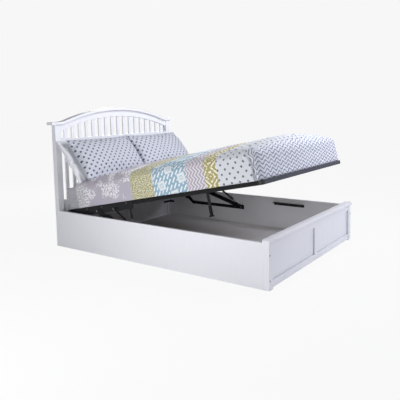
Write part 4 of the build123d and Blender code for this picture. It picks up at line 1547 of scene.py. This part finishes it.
@dataclass(frozen=True)
class Studio:
    """A pale floor and backdrop, soft plain light and the camera."""

    backdrop: str = "f7f7f7"
    reach: float = 30.0
    # The camera sees the floor mostly as its own pale glow, and the rest of it takes the shadow
    glow_share: float = 0.96
    glow: float = 1.033
    sky: str = "f1f2fb"
    sky_strength: float = 0.17
    # The camera that the photograph's edges fit, in pixels of a square picture
    camera_place: tuple = (-3.3324, -2.4785, 1.1372)
    yaw: float = math.radians(56.781)
    pitch: float = math.radians(-5.549)
    roll: float = math.radians(-0.789)
    focal: float = 494.75
    centre: tuple = (232.99, 156.40)
    picture: float = 400.0
    sensor: float = 36.0

    def floor(self) -> None:
        """Lay a floor that shows pale to the camera and still takes a soft shadow."""
        corners = [(x * self.reach, y * self.reach, 0.0) for x, y in ((-1, -1), (1, -1), (1, 1), (-1, 1))]
        floor = new_piece("studio_floor", corners, [(0, 1, 2, 3)])
        material = bpy.data.materials.new("studio_floor")
        material.use_nodes = True
        nodes = Nodes(material.node_tree)
        nodes.tree.nodes.clear()
        rays = nodes.add("ShaderNodeLightPath").outputs
        direct = {0: rays["Is Camera Ray"], 1: rays["Is Glossy Ray"]}
        seen = nodes.add("ShaderNodeMath", direct, operation="MAXIMUM")
        shown = nodes.add("ShaderNodeMath", {0: seen, 1: rays["Is Transmission Ray"]}, operation="MAXIMUM")
        part = nodes.add("ShaderNodeMath", {0: shown, 1: self.glow_share}, operation="MULTIPLY")
        matt = nodes.add("ShaderNodeBsdfDiffuse", {"Color": linear(self.backdrop)})
        glow = nodes.add("ShaderNodeEmission", {"Color": linear(self.backdrop), "Strength": self.glow})
        mixed = nodes.add("ShaderNodeMixShader", {0: part, 1: matt, 2: glow})
        nodes.add("ShaderNodeOutputMaterial", {0: mixed})
        floor.data.materials.append(material)

    def light(self) -> None:
        """Light the bed plainly from the front and above, with a fill from behind."""
        world = bpy.data.worlds.new("studio")
        bpy.context.scene.world = world
        world.use_nodes = True
        nodes = Nodes(world.node_tree)
        nodes.tree.nodes.clear()
        rays = nodes.add("ShaderNodeLightPath").outputs
        direct = {0: rays["Is Camera Ray"], 1: rays["Is Transmission Ray"]}
        seen = nodes.add("ShaderNodeMath", direct, operation="MAXIMUM")
        around = nodes.add("ShaderNodeBackground", {"Color": linear(self.sky), "Strength": self.sky_strength})
        behind = nodes.add("ShaderNodeBackground", {"Color": linear(self.backdrop), "Strength": 1.0})
        mixed = nodes.add("ShaderNodeMixShader", {0: seen, 1: around, 2: behind})
        nodes.add("ShaderNodeOutputWorld", {0: mixed})
        for lamp in LAMPS:
            lamp.build()

    def camera(self) -> None:
        """Stand the camera where the photograph was taken from."""
        level_reach = math.cos(self.pitch)
        ahead = Vector(
            (math.sin(self.yaw) * level_reach, math.cos(self.yaw) * level_reach, math.sin(self.pitch))
        )
        level = ahead.cross(Vector((0.0, 0.0, 1.0))).normalized()
        upright = level.cross(ahead)
        right = level * math.cos(self.roll) + upright * math.sin(self.roll)
        up = upright * math.cos(self.roll) - level * math.sin(self.roll)
        data = bpy.data.cameras.new("camera")
        data.sensor_width = self.sensor
        data.lens = self.focal / self.picture * self.sensor
        data.shift_x = (self.picture / 2 - self.centre[0]) / self.picture
        data.shift_y = (self.centre[1] - self.picture / 2) / self.picture
        data.clip_end = 200.0
        camera = bpy.data.objects.new("camera", data)
        bpy.context.scene.collection.objects.link(camera)
        turn = Matrix((right, up, -ahead)).transposed().to_4x4()
        camera.matrix_world = Matrix.Translation(self.camera_place) @ turn
        bpy.context.scene.camera = camera

    def build(self) -> None:
        """Set up the whole studio."""
        self.floor()
        self.light()
        self.camera()
        bpy.context.scene.view_settings.view_transform = "Standard"
        LOG.info("studio ready")


@dataclass(frozen=True)
class Pillows:
    """Two plain pillows that lean on the headboard, and two dotted ones in front of them."""

    deck: Deck
    station: float = 0.096
    height: float = 0.2476
    front_step: float = 0.0535
    pitch: float = 0.344
    rear_shift: float = -0.032
    front_shift: float = 0.022

    def build(self, palette: Palette, cording: Growth) -> None:
        """Make the four pillows, from left to right.

        Args:
            palette: The finishes.
            cording: The tree that sweeps the edge seams.
        """
        rear = self.deck.place(0.0, self.station, self.height)
        front = self.deck.place(0.0, self.station - self.front_step, self.height)
        for side, tag in ((-1, "left"), (1, "right")):
            Pillow(
                node=f"pillow_rear_{tag}",
                slot="plain_cotton",
                middle=side * self.pitch + self.rear_shift,
                seam=(rear.y, rear.z),
                front=0.0185,
                back=0.0565,
                seed=side,
                crease=0.010,
                droop=0.020,
            ).build(palette, cording)
            Pillow(
                node=f"pillow_front_{tag}",
                slot="dotted_cotton",
                middle=side * self.pitch + self.front_shift,
                seam=(front.y, front.z),
                front=0.0725,
                back=0.0245,
                seed=side * 5.0,
            ).build(palette, cording)


def main() -> None:
    """Build the dressed bed, one sub-assembly after another."""
    logging.basicConfig(level=logging.INFO, format="%(message)s")
    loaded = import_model()
    Studio().build()
    palette = Palette()
    deck = Deck()
    Frame(loaded).build(palette)
    SprungSlats(deck).build(palette, slat_tree())
    Fixings().build(palette, recess_tree())
    mattress = Mattress(deck)
    mattress.build(palette)
    duvet = Duvet(mattress)
    duvet.build(palette)
    duvet.stitches(palette, stitch_tree())
    Pillows(deck).build(palette, piping_tree())


if __name__ == "__main__":
    main()
